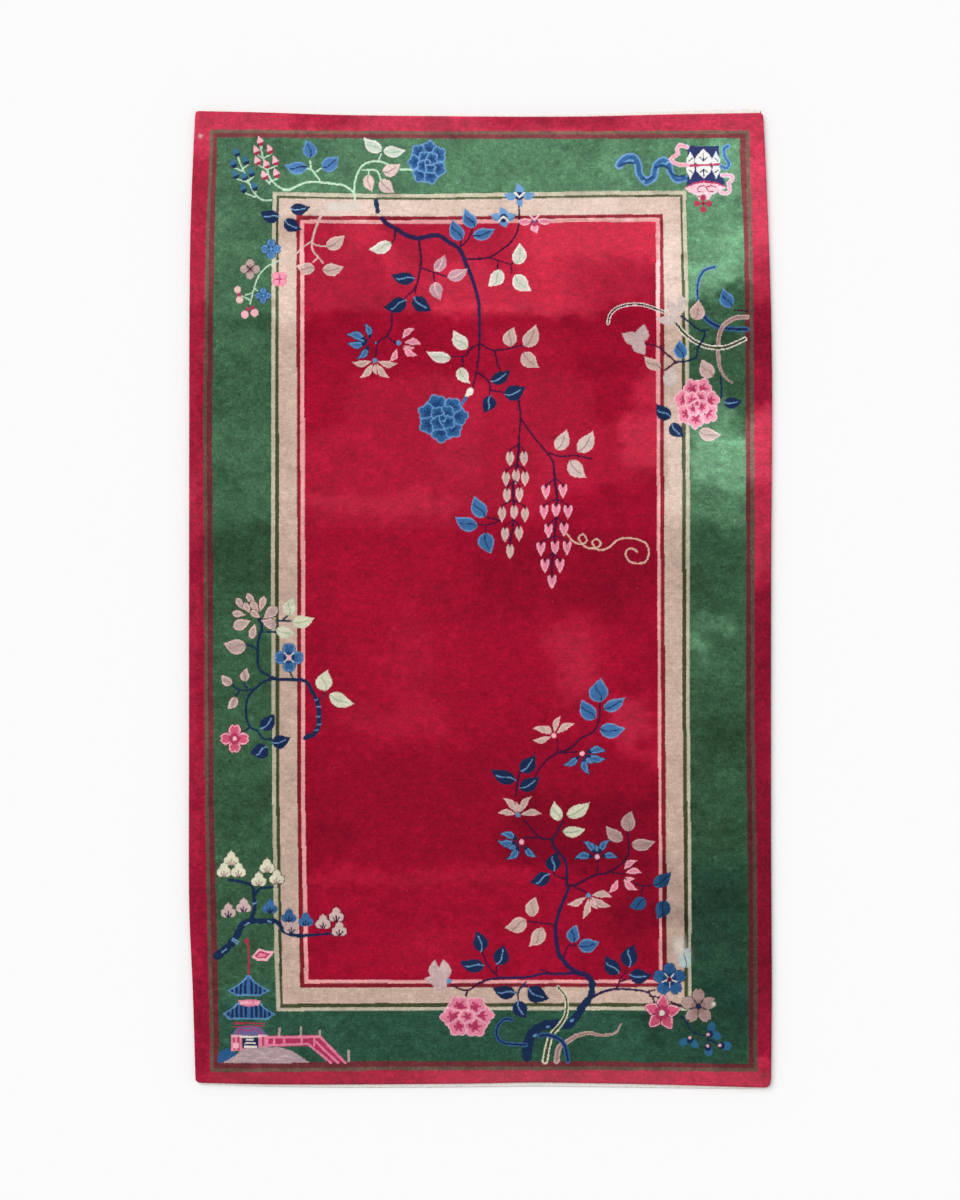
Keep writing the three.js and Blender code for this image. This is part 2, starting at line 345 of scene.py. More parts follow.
UPPER_SPRAY = [
    Twigs("trunk", 4.8, 4.8, (((376, 201), (377.5, 211)),)),
    Twigs("bough", 4.4, 4.8, (((382, 218), (386, 223), (395, 228), (406, 235), (417.5, 238.5)),)),
    Twigs("bough", 4.8, 4.2, (
        ((417.5, 238.5), (432, 235.4), (440, 236), (449, 242), (460, 250), (467, 266)),
    )),
    Twigs("bough", 4.2, 2.6, (((466, 264), (473, 281), (478, 299), (479.4, 313.5), (479.4, 343)),)),
    Twigs("plum", 2.4, 1.8, (((479.4, 341), (478.5, 357), (476, 374), (472.5, 388)),)),
    Twigs("plum", 2.4, 1.7, (
        ((419, 241), (421, 260), (419, 275), (415.6, 287), (406, 297)), ((416, 286), (415, 293)),
    )),
    Twigs("plum", 1.6, 1.6, (
        ((395, 230), (394.5, 239), (391.6, 243)), ((421, 268), (432, 271.5), (447, 277)),
    )),
    Twigs("plum", 1.6, 1.5, (
        ((433, 272), (435, 281.6)), ((460.5, 247), (461, 239.5)), ((489, 257.6), (511, 264.5)),
        ((498, 261), (497.5, 270)), ((511, 264.5), (512, 273)), ((511, 264.5), (514, 262)),
    )),
    Twigs("plum", 1.8, 1.6, (((458, 248), (465, 243), (471.6, 232.6), (472.5, 225.7)),)),
    Twigs("plum", 1.7, 2.2, (
        ((519, 206), (519, 224), (514, 238), (504, 248), (488, 257.6), (466.5, 259)),
    )),
    Twigs("plum", 2.0, 1.6, (
        ((479.4, 344), (471.6, 348), (465, 355.7), (450, 356.6)), ((462.5, 357), (462.7, 366)),
        ((479.4, 343), (492, 350), (506, 349), (523, 345)), ((495, 351), (497.5, 363.5), (501, 372)),
    )),
    Twigs("plum", 2.0, 1.7, (((478.5, 373), (489, 381.5), (489.7, 396)), ((489.7, 390), (505.6, 392.7)))),
    Twigs("plum", 2.2, 1.8, (((518.7, 400.7), (520.6, 416.5), (519.5, 430), (519, 443)),)),
    Twigs("plum", 2.0, 2.0, (((521, 419), (533, 436), (543, 448), (552.6, 461), (554, 469.5)),)),
    Twigs("plum", 1.8, 1.6, (((549, 453), (561, 456.6), (575, 455.4), (592, 459)),)),
    Twigs("plum", 2.0, 1.7, (
        ((391.9, 313.6), (391.6, 325.7), (386.7, 336), (378, 342.4), (375.2, 357.3)),
    )),
    Twigs("plum", 1.7, 1.7, (((387, 336), (390, 338.6), (396, 343.4)),)),
    Leaves("mint", ((381, 248, 205, 23, 12),)),
    Leaves("navy", ((403, 278.5, 180, 24, 11), (396, 306, 208, 24, 13), (421, 305, -50, 22, 13))),
    Leaves("mauve", ((441, 264, 48, 19, 11), (458, 275, 12, 21, 12), (436, 291, -88, 18, 13))),
    Fan(370.5, 342.5, "blue", "navy", None, 4, (
        (97, 19), (152, 24), (172, 13), (191, 22), (-119, 20), (0, 6),
    )),
    Fan(398.5, 343, "rose", None, "sky", 6, ((52, 21), (6, 22), (-26, 16), (-43, 22), (-106, 20))),
    Fan(374.7, 360.5, "taupe", None, "sky", 3, ((194, 22), (-121, 22), (-90, 14), (-60, 22), (-17, 22))),
    Leaves("blue", ((468.7, 219, 130, 21, 12), (455.6, 231, 128, 22, 13), (484, 234, 8, 23, 11))),
    Leaves("sky", (
        (519.5, 189, 90, 11, 9), (510, 196.5, 180, 12, 8), (529, 196, 0, 12, 8), (519.5, 202.5, -90, 9, 7),
        (503.5, 212, 90, 10, 9), (495.5, 217, 180, 10, 8), (511, 217, 0, 10, 8), (503.5, 223, -90, 9, 9),
    )),
    Dots("navy", 4.2, ((519.5, 196), (503.5, 218))),
    Twigs("ivory", 1.7, 1.7, (
        ((515, 192.5), (519.5, 197), (524, 192.5)), ((499, 221), (503.5, 216.5), (508, 221)),
    )),
    Leaves("rose", ((524, 222, 185, 13, 7), (545.5, 221.5, -5, 14, 6.5), (534.5, 228.5, -90, 9, 8))),
    Dots("cerise", 4.0, ((534.5, 222),)),
    Dots("violet", 1.8, ((534.5, 221),)),
    Twigs("blush", 1.8, 1.8, (((530, 215), (534.5, 220)), ((539, 215), (534.5, 220)))),
    Leaves("mint", (
        (520, 254.5, 68, 21, 14), (496.6, 279, -115, 20, 14), (521, 284, -58, 22, 15),
        (459, 341, 140, 22, 14), (438.6, 357, 172, 25, 11), (462.7, 376, -70, 18, 12),
    )),
    Leaves("taupe", ((509.7, 337, 92, 19, 14), (532, 337, 50, 24, 15), (529, 361, -60, 21, 15))),
    Leaves("navy", ((501, 377.6, 20, 22, 11), (515, 393, 5, 22, 14), (489, 404.5, -100, 18, 12))),
    Twigs("blue", 3.0, 4.0, (((467, 396), (463, 402), (457, 408)),)),
    Leaves("ivory", ((469.5, 392.5, -115, 11, 7),)),
    Peony(442.5, 418, 51, 48, 5, FULL, "sky", "marine", "deep"),
    Leaves("pearl", ((563, 441, 50, 22, 14), (587, 443, 42, 25, 15), (576, 470, -60, 23, 15))),
    Twigs("plum", 2.8, 2.0, (TAUPE_WISTERIA, PINK_WISTERIA)),
    Florets(
        "taupe", "wine", "lens", -90, 16, 7.6, "plum", -6, TAUPE_WISTERIA,
        ((510, 458), (524, 458), (506, 478), (516, 476), (525, 478), (507, 495), (519.5, 494), (502, 513.5),
         (514, 512), (525, 514), (505, 534), (519, 533), (510, 551)),
    ),
    Florets(
        "rose", "wine", "fork", -90, 14, 8.4, "plum", -6, PINK_WISTERIA,
        ((546, 492), (563, 491), (544, 512), (556, 511), (568, 512), (548.5, 531), (564, 530), (541, 549),
         (555, 548), (567, 548), (545, 566), (560, 566), (552, 582)),
    ),
    Twigs("plum", 1.7, 1.6, (
        ((499, 520), (486, 517)), ((499, 521), (487, 525), (477, 524)), ((486, 526), (486, 534)),
    )),
    Leaves("blue", ((478, 508, 130, 23, 14), (466, 524, 168, 24, 13), (486, 543, -90, 21, 15))),
    Twigs("straw", 1.6, 1.6, (
        ((567, 534), (574, 542), (582, 544), (587, 540), (583, 534), (578.5, 538), (583, 545)),
        ((583, 545), (588, 548), (596, 548), (601, 544), (597, 539), (592, 542), (596, 549)),
        ((596, 549), (602, 550), (609, 547.5), (616, 541), (624, 538), (635.6, 538.7)),
        ((635.6, 538.7), (645.5, 543), (649, 552), (645.5, 561.6), (637, 563.7)),
        ((637, 563.7), (629, 561), (625.6, 554), (628, 549), (634, 549), (637, 552)),
    )),
]
FAR_RIGHT_CORNER = [
    Twigs("sky", 8.5, 8, (
        ((619, 165), (624, 159), (633, 157), (638, 164), (639.5, 174), (646.5, 182)),
    ), "marine", 0.55),
    Twigs("sky", 8, 7.5, (
        ((646.5, 182), (653.5, 177), (656, 166), (663.5, 160), (669, 165)),
    ), "marine", 0.55),
    Twigs("sky", 7.5, 6, (((669, 165), (671, 173), (677, 180), (687, 178)),), "marine", 0.55),
    Twigs("deep", 2.6, 2.2, (((620, 166), (626, 163), (634, 163)), ((656, 167.5), (663, 165), (669, 169)))),
    Twigs("deep", 2.2, 2.2, (((643, 178), (647, 180), (653, 177)), ((670, 171), (676, 176), (685, 176)))),
    Patch("indigo", (
        (687.5, 145.5), (704, 146.5), (719, 145.5), (719.5, 172), (724, 180), (726, 185), (686, 185),
        (688, 178),
    )),
    Leaves("ivory", (
        (703.5, 156.5, 90, 15.5, 17), (690.4, 158, 90, 13, 8), (716, 158, 90, 13, 8),
        (703.8, 172, -90, 13.5, 15), (690.4, 172, -90, 13, 8), (716.4, 172, -90, 13, 8),
    ), ONION),
    Twigs("navy", 1.1, 1.1, (
        ((703.5, 153), (703.5, 160)), ((700, 157.5), (703.5, 161)), ((707, 157.5), (703.5, 161)),
        ((703.8, 169), (703.8, 176)), ((700.4, 172), (703.8, 169)), ((707.2, 172), (703.8, 169)),
        ((689, 161), (692.5, 158)), ((718, 161), (714.5, 158)), ((689, 170), (692.5, 172.5)),
        ((718.5, 170), (715, 172.5)),
    )),
    Twigs("cerise", 2.4, 2.4, (((687, 165.5), (720, 164.5)),)),
    Patch("cerise", (
        (683.5, 188), (694, 182.5), (704, 180.6), (716, 182), (727.5, 187), (718, 192), (694, 192),
    )),
    Patch("blush", (
        (684.5, 188.4), (694, 184.4), (704, 182.6), (716, 184), (726.5, 187.6), (720, 191), (712, 195),
        (709, 199.5), (699, 199.5), (696, 195), (689, 192),
    )),
    Twigs("rust", 1.2, 1.2, (
        ((703, 192), (698.5, 191.5), (698.5, 187), (703, 185.5), (706, 187), (708, 191), (713, 191.5)),
        ((707, 187), (711, 185.6), (716, 187)), ((697, 196), (702, 197)),
    )),
    Dots("rust", 3.1, ((703.2, 197.4), (697.2, 203.4), (709.2, 203.4), (703.2, 209.4))),
    Twigs("rust", 2.0, 2.0, (((703.2, 197), (703.2, 210)), ((697, 203.4), (709.4, 203.4)))),
    Dots("wine", 1.5, ((703.2, 203.4),)),
    Twigs("blush", 4.4, 4.4, (
        ((687, 147), (680, 145), (677, 150), (678, 154), (671, 159), (677, 164), (688, 165)),
    ), "rose", 0.35),
    Twigs("sky", 5.0, 4.4, (
        ((728, 146), (724, 149), (725, 157), (729, 163), (727, 168), (721, 166)),
    ), "marine"),
    Twigs("blush", 4.4, 4.4, (
        ((722, 175), (732, 176), (732, 180), (728.5, 183), (730, 190), (726, 193.5), (721, 192)),
    ), "rose", 0.35),
]
RIGHT_BORDER = [
    Twigs("blue", 4, 3, (((714.7, 267), (705, 270), (699, 279), (697.4, 290), (698, 300.5)),), "navy"),
    Twigs("plum", 1.8, 1.8, (((735, 310), (747, 311)),)),
    Twigs("blue", 5, 5, (((703, 315), (709, 321.5), (720, 327), (735, 329), (747, 329)),), "navy"),
    Twigs("taupe", 5, 4, (((747, 317), (735, 318), (724, 325), (719, 336), (718, 353)),), "umber"),
    Twigs("taupe", 4, 1.5, (((718, 353), (720, 368), (726, 378), (732.6, 383)),), "umber"),
    Twigs("ivory", 3.4, 3.4, (
        ((608, 323), (610.5, 314), (619, 307), (634, 304), (648, 306), (664, 312)),
    ), "plum"),
    Twigs("ivory", 4.6, 4.6, (
        ((676, 323), (684, 333), (695, 341.5), (709, 347), (726, 347), (745, 339)),
    ), "moss"),
    Leaves("lilac", (
        (682, 303, 88, 20, 9), (672, 308, 135, 18, 9), (668, 320, 190, 23, 10), (670, 377, 95, 20, 14),
    )),
    Leaves("blue", ((726, 299, 130, 20, 13), (680, 350, 115, 19, 12))),
    Leaves("taupe", ((698, 311, 60, 19, 15), (652, 364, 155, 20, 11), (706, 369.5, 135, 20, 14.5))),
    Twigs("trunk", 2.0, 1.8, (
        ((681, 316), (692, 324), (699, 330), (708, 330)), ((720.6, 377), (721.5, 397), (713, 401)),
    )),
    Twigs("trunk", 2.2, 2.0, (
        ((705, 331), (703.7, 338), (697.5, 349), (696.6, 357), (687, 361), (676, 362)),
    )),
    Twigs("plum", 2.0, 1.8, (
        ((676, 362), (665.6, 353), (656.7, 346), (640, 343)), ((676, 362), (665, 370)),
    )),
    Leaves("moth", ((643, 333.5, 55, 17, 14), (630, 338, 178, 17, 13), (639, 347, -75, 18, 13))),
    Dots("moth", 6.0, ((637, 340),)),
    Peony(697, 403.5, 46, 52, 12, FULL, "blush", "rose", "cerise"),
    Leaves("ash", ((709.4, 435, -20, 22, 13),)),
    Leaves("navy", ((662.5, 412.6, 150, 20, 12), (676, 431, -65, 18, 12), (732.6, 403, -8, 18, 10))),
]
LEFT_BORDER = [
    Twigs("trunk", 2.6, 2.4, (
        ((259, 618), (262, 627), (258, 641), (258, 653), (258, 665), (262, 672), (276, 678.6)),
    )),
    Twigs("trunk", 1.8, 1.6, (
        ((262, 632), (276, 632)), ((277.5, 621), (291, 621)), ((282, 621), (288, 615)),
        ((246, 645), (252, 646), (257, 650)), ((289.7, 672), (293, 678)),
    )),
    Twigs("trunk", 3.0, 4.0, (
        ((269, 679), (285, 679.4), (302, 680), (308, 684), (313, 693), (317.5, 701)),
    )),
    Twigs("trunk", 4.6, 5.0, (((317, 700), (318.7, 711), (318.7, 723), (315, 733), (305, 738)),)),
    Twigs("sky", 1.2, 1.2, (
        ((315, 700), (318, 699.6)), ((317, 707), (320, 706.8)), ((317, 716.6), (320, 716.4)),
        ((317.6, 724.5), (320.6, 724.3)), ((315, 730), (318, 730)),
    )),
    Twigs("trunk", 1.8, 1.6, (((318, 701), (326.4, 692.6)),)),
    Twigs("trunk", 2.5, 2.5, (((273, 679), (265, 681), (257, 687), (250, 694), (246.6, 701), (246, 711)),)),
    Twigs("trunk", 2.5, 2.2, (
        ((246, 711), (246.6, 719), (250, 727), (257, 731), (264, 739), (271.5, 739)),
    )),
    Twigs("trunk", 1.8, 1.5, (
        ((257, 688), (248.5, 690), (240, 690), (234, 686.6), (232, 683)), ((243.6, 683), (247, 688.5)),
    )),
    Twigs("trunk", 1.6, 1.5, (((240, 690), (236, 696)), ((250, 727), (243.6, 732)))),
    Leaves("ash", (
        (240, 604, 118, 14, 6.8), (251, 599.5, 125, 14, 6.8), (262, 604, 75, 16, 7),
        (247, 608, 118, 12, 6.4), (255, 607, 125, 14, 6.6), (239, 614, 172, 14, 6.8),
        (255.5, 614.5, 145, 12, 6.4), (270, 613, 40, 18, 10.5), (242, 624, 200, 19, 11),
        (253, 631, -105, 16, 8), (268.5, 623, -20, 16, 10),
    ), CLUB, "moss"),
    Dots("navy", 2.0, ((259.5, 619.4),)),
    Leaves("lime", (
        (289, 607, 92, 18, 13), (303, 622, -2, 22, 13), (285, 633, -25, 19, 12), (323.6, 681, 100, 20, 17),
        (340.6, 701, -32, 26, 14),
    )),
    Leaves("ash", (
        (235, 647, 186, 22, 15), (226, 681, 150, 13, 9), (244.5, 675, 95, 13, 9),
        (233, 703.6, -115, 14, 8.6),
    )),
    Blossom(289, 657.6, 14.6, 4, 0, "notch", "sky", "blue", "deep", "marine", "ivory", "blush"),
    Blossom(234.6, 738.7, 14.6, 4, 0, "notch", "blush", "coral", "cerise", "wine", "cerise", "blush"),
    Leaves("navy", ((268.5, 723, 35, 20, 12), (281, 742, 0, 19, 12), (260, 752, 215, 18, 14))),
]
NEAR_LEFT_CORNER = [
    Twigs("trunk", 8, 6, (((217, 956), (227, 948), (236, 937), (242.6, 924.5), (254, 920.5)),)),
    Twigs("trunk", 6, 3, (((250, 921), (266.5, 921), (277, 922), (285, 932), (298, 935.7), (314, 935)),)),
    Twigs("bough", 3, 2.2, (((314, 935), (330, 934), (338, 935.7)),)),
    Twigs("trunk", 4, 3, (
        ((251, 920.5), (254.6, 908.6), (254, 896), (252, 886), (242.6, 882), (229, 880)),
    )),
    Twigs("trunk", 3, 2.4, (((254, 895), (260, 889), (273, 887)),)),
    Twigs("ice", 1.4, 1.4, (
        ((232, 940), (237, 944)), ((233, 938.4), (238.6, 942)), ((222, 952.4), (226, 949.4)),
        ((253, 904), (256, 903)), ((245, 925), (249, 923)), ((268, 921), (271, 922)),
    )),
    Pines("lime", "greige", "moss", (
        (231.3, 859), (224.2, 870.4), (238.5, 870.4), (267, 866.3), (258.8, 879.6), (276.8, 877.5),
    )),
    Pines("fawn", "bough", None, ((228.3, 911), (243.6, 906), (291.4, 927))),
    Pines("blue", "navy", None, ((270, 907), (289, 916), (305.7, 920))),
    Pines("fawn", "plum", "wine", ((323, 922.3), (336.2, 915.2), (339.3, 929.5))),
    Twigs("rust", 1.6, 2.2, (((248, 940), (248.6, 958), (248.6, 974)),)),
    Dots("rust", 2.6, ((246.6, 941),)),
    Patch("blush", ((251, 957), (259, 948.4), (266, 951), (275, 951.6), (267, 961), (258, 961))),
    Patch("cerise", (
        (254.6, 956.4), (259.6, 950.6), (266, 952.6), (270.5, 953.4), (265.6, 958.6), (258.6, 958.6),
    )),
    Patch("rose", ((257, 956), (260, 953), (266.6, 954.6), (264.6, 957), (259.6, 957.4))),
    Patch("rock", ((222, 1063), (235, 1056), (243, 1048), (278, 1047), (292, 1051), (310, 1063))),
    Twigs("moth", 1.4, 1.4, (
        ((236, 1058), (242, 1053), (249, 1055), (256, 1051), (264, 1054), (272, 1051)),
        ((232, 1062), (241, 1058), (251, 1061), (262, 1057), (273, 1060), (284, 1056), (294, 1059)),
    )),
    Patch("marine", ((217, 1063), (219, 1052), (228, 1048), (237, 1054), (231, 1058), (222, 1063))),
    Roof(248.4, 975, 991, 996, 2.5, 22.0, 12.0),
    Roof(248.8, 1003, 1014, 1019.5, 13.0, 27.0, 20.0),
    Patch("rose", ((238, 1000.4), (249, 999.6), (261, 1000.4), (259, 1005.4), (249, 1006.6), (240, 1005))),
    Boxes("blush", ((240, 252, 1001.5, 1004), (254, 259, 1001.5, 1004))),
    Twigs("rust", 1.6, 1.6, (((234, 1023.4), (264, 1023.4)),)),
    Patch("violet", ((238, 1027), (248, 1025), (260, 1027), (268, 1036), (231, 1036))),
    Twigs("rust", 1.1, 1.1, (
        ((237, 1034), (241, 1029), (248, 1031), (256, 1029), (261, 1034)), ((233, 1027), (264, 1026)),
    )),
    Boxes("rose", ((231, 242, 1035, 1051), (258, 268, 1035, 1047))),
    Boxes("cerise", ((233, 235, 1038, 1050), (237.5, 239.5, 1036, 1050), (262, 264, 1037, 1046))),
    Boxes("blush", ((231, 242, 1035, 1037), (258, 268, 1035, 1037), (233, 239, 1043, 1048))),
    Boxes("navy", ((242, 258.5, 1038, 1048),)),
    Boxes("ivory", (
        (246, 254, 1039, 1040.6), (245, 255.5, 1042.4, 1044), (244, 257, 1045.8, 1047.6),
        (240, 260, 1036, 1037.6),
    )),
    Patch("cerise", (
        (268, 1036), (321, 1035), (322, 1037), (346, 1062), (330, 1063), (309, 1046), (268, 1047),
    )),
    Twigs("rose", 2.2, 2.2, (
        ((267, 1037.4), (320, 1036.8)), ((268, 1045.4), (308, 1044)), ((320, 1036.8), (345, 1063)),
        ((308, 1044), (331, 1063)), ((316, 1042), (338, 1063)),
    )),
    Boxes("rose", (
        (283, 285, 1036, 1045), (300.5, 302.5, 1036, 1045), (313, 315, 1036, 1046), (273, 275, 1036, 1045),
    )),
    Boxes("ash", (
        (278, 280.6, 1027.5, 1036), (299.6, 302, 1026.5, 1036), (318.8, 321, 1030, 1037),
        (347.4, 350, 1050, 1062),
    )),
]
LOWER_SPRAY = [
    Twigs("bough", 3.0, 4.6, (((569, 888), (562.6, 902.6), (556, 923), (556, 939), (559, 955)),)),
    Twigs("bough", 4.6, 6.0, (((559, 955), (567, 965), (576, 972), (587.5, 976), (593, 984)),)),
    Twigs("trunk", 6.0, 8.5, (((592, 982), (591, 995.5), (583, 1006), (577, 1016), (569, 1025)),)),
    Twigs("trunk", 8.5, 10, (
        ((569, 1025), (553.6, 1024), (540, 1027), (531, 1036), (527.5, 1047.5), (527, 1057)),
    )),
    Twigs("sky", 2.2, 2.2, (
        ((571, 1021), (573, 1020)), ((547, 1027), (549, 1026.6)), ((534, 1036), (536, 1035)),
    )),
    Twigs("plum", 1.7, 2.4, (((600, 699), (599.4, 718), (594, 731), (580, 739), (571, 748), (558, 753)),)),
    Twigs("plum", 2.4, 1.8, (
        ((558, 753), (548, 759), (540, 768), (535, 777)), ((520, 772), (517.5, 782), (515.7, 796)),
    )),
    Twigs("plum", 1.6, 1.6, (((558, 753), (557, 740)), ((558, 753), (577, 752)), ((597, 875), (598, 860)))),
    Twigs("plum", 1.8, 2.0, (((524, 820), (536, 834), (542, 839), (552, 839)), ((524, 838), (542, 838)))),
    Twigs("bough", 2.0, 3.0, (((563, 821.5), (556, 834), (552, 842), (559, 853), (566, 863), (567, 885)),)),
    Twigs("plum", 3.0, 1.8, (
        ((567, 886), (577, 884.5), (593, 876), (609, 872), (622, 863), (629, 852), (627, 831)),
    )),
    Twigs("plum", 1.7, 1.6, (
        ((609, 872), (623, 874)), ((572, 886), (588, 893)), ((567, 880), (555, 875), (554, 870)),
        ((634.5, 883), (642.5, 886), (653, 885)), ((642.5, 886), (641.7, 896)),
    )),
    Twigs("plum", 1.8, 1.7, (
        ((529, 921.5), (549, 924), (556, 926)), ((564, 958), (568, 946), (576, 945.7)),
    )),
    Twigs("plum", 1.7, 1.7, (((482, 950), (487, 964), (498, 977)), ((497, 966), (496, 973)))),
    Twigs("trunk", 1.8, 1.6, (
        ((526, 982), (518.5, 991), (518.5, 1002)), ((524, 985), (529, 988)), ((518.5, 993), (512, 992)),
    )),
    Twigs("bough", 3.0, 2.2, (
        ((578, 973), (560, 974), (542, 974), (526, 977.4), (495, 978.5), (479, 983)),
    )),
    Twigs("plum", 2.2, 1.8, (
        ((479, 983), (469, 990), (458.5, 988.7), (452, 985)), ((467.5, 991), (465, 1000)),
    )),
    Twigs("plum", 1.8, 1.4, (((553.6, 974), (540, 969.4)),)),
    Twigs("bough", 3.0, 1.8, (((591, 998), (603, 992), (617, 989), (635, 990), (649, 993), (655, 1003)),)),
    Twigs("plum", 1.8, 1.6, (((617, 989), (620, 980), (627, 971)), ((620, 982), (632, 977)))),
    Twigs("plum", 1.8, 1.8, (
        ((646, 992), (655, 990)), ((650, 996), (660, 997.6)), ((671, 1002), (684, 1007.6)),
    )),
    Twigs("trunk", 1.7, 1.6, (
        ((681.5, 1016), (688, 1025), (692, 1032), (706, 1036)), ((708, 1037), (708, 1045)),
        ((710, 1040), (720, 1045)),
    )),
    Leaves("blue", (
        (598, 691, 105, 23, 18), (587, 711, 138, 23, 14), (614.6, 705, 18, 24, 11), (612, 731, -10, 25, 14),
    )),
    Fan(554, 735.5, "taupe", None, "blush", 3, ((202, 21), (152, 22), (129, 14), (81, 20), (39, 23))),
    Fan(582.4, 753.5, "blue", "navy", "blush", 4, ((15, 23), (-23, 23), (-49, 14), (-81, 21), (-138, 21))),
    Leaves("navy", ((529, 765, 35, 22, 13), (503, 777, 165, 27, 12), (530, 784.5, 18, 23, 12))),
    Fan(518.3, 815, "taupe", None, "sky", 2, ((166, 20), (122, 22), (92, 13), (64, 22), (11, 23))),
    Fan(521.7, 842, "blue", "navy", "blush", 5, ((150, 22), (187, 23), (212, 15), (240, 22), (-56, 20))),
    Fan(597.5, 857, "blue", "navy", "blush", 4, ((174, 22), (122, 20), (91, 12), (65, 20), (8, 19))),
    Fan(620, 874, "rose", None, None, 6, ((48, 21), (13, 21), (-28, 15), (-52, 23), (-112, 21))),
    Fan(588.4, 895.5, "taupe", None, "sky", 3, ((6, 23), (-35, 24), (-63, 16), (-94, 23), (213, 22))),
    Leaves("lime", ((555.6, 812, 120, 19, 12), (579, 811, 20, 26, 13), (574, 832, -3, 22, 11))),
    Leaves("greige", ((628, 821.5, 95, 20, 14), (613.5, 835, 150, 21, 12), (643, 845, -3, 23, 12))),
    Leaves("navy", ((553, 862, 95, 19, 13), (541, 880, 215, 21, 12))),
    Leaves("marine", ((663, 880.5, 25, 22, 13), (638.5, 904.5, 220, 18, 13), (663, 910, -100, 20, 15))),
    Leaves("taupe", ((532, 907, 92, 20, 13), (517, 926, 212, 22, 15), (538, 938, 245, 22, 14))),
    Leaves("blue", ((573, 934, 95, 18, 12), (588.7, 946, -3, 21, 13))),
    Leaves("navy", (
        (480.7, 941.6, 90, 21, 13), (502, 956, 55, 20, 14), (472, 966, 180, 25, 12),
        (504, 992.5, 178, 23, 12), (537, 995.5, -42, 23, 15), (520, 1010, -80, 19, 13),
    )),
    Leaves("moth", (
        (434, 970, 105, 19, 11), (445, 970, 78, 20, 13), (437, 980, 195, 24, 14), (440, 985, 250, 18, 13),
    )),
    Dots("sky", 2.6, ((449, 981),)),
    Peony(467, 1016.5, 52, 44, 0, SIMPLE, "blush", "rose", "cerise"),
    Twigs("blue", 3.8, 3.8, (
        ((512, 1020), (505, 1019), (498, 1026), (497, 1036), (504, 1043), (526, 1045)),
    ), "navy"),
    Twigs("taupe", 1.8, 4.5, (
        ((621, 1024), (615, 1033), (601, 1035.5), (589, 1033), (576, 1036)),
    ), "umber"),
    Twigs("taupe", 4.5, 6.0, (((576, 1036), (567, 1042), (559, 1047.5), (556.5, 1061)),), "umber"),
    Twigs("lime", 3.0, 6.5, (
        ((558, 987), (566, 998), (566, 1014), (560, 1025), (551, 1036), (547, 1050), (545, 1061)),
    ), "moss"),
    Twigs("blue", 4.5, 5.0, (((540, 1036), (547, 1035), (558, 1038.5), (565, 1046), (568, 1061)),), "navy"),
    Leaves("navy", ((629, 956, 92, 22, 15), (611, 966.5, 140, 22, 13), (640, 977, -15, 22, 13))),
    Blossom(669.5, 979.6, 17.0, 5, 90, "notch", "blue", "marine", "deep", "navy", "ivory", "wine"),
    Blossom(662, 1013, 18.5, 5, 85, "point", "blush", "coral", "cerise", "wine", "cerise", "ivory"),
    Blossom(698.5, 1006.5, 18, 5, 90, "notch", "ash", "greige", "umber", "moss", "navy", "navy"),
    Leaves("teal", (
        (684, 1042, 205, 11, 7.5), (694.5, 1044, -55, 10, 7), (711.5, 1027.5, 75, 11, 8),
        (716, 1035.5, -25, 11, 8), (708.5, 1051.5, -90, 10, 8.5), (726.5, 1046, 0, 11, 9),
    ), ROUND),
    Dots("navy", 3.4, ((690, 1040), (710, 1034), (708, 1047.4), (721.6, 1045.6))),
    Dots("blush", 1.6, ((690, 1037.8), (708, 1034.6), (707.6, 1046), (719.8, 1045.6))),
    Leaves("frost", ((685, 958, 93, 21, 13),)),
]
DRAWING = (
    FAR_LEFT_CORNER,
    UPPER_SPRAY,
    FAR_RIGHT_CORNER,
    RIGHT_BORDER,
    LEFT_BORDER,
    NEAR_LEFT_CORNER,
    LOWER_SPRAY,
)
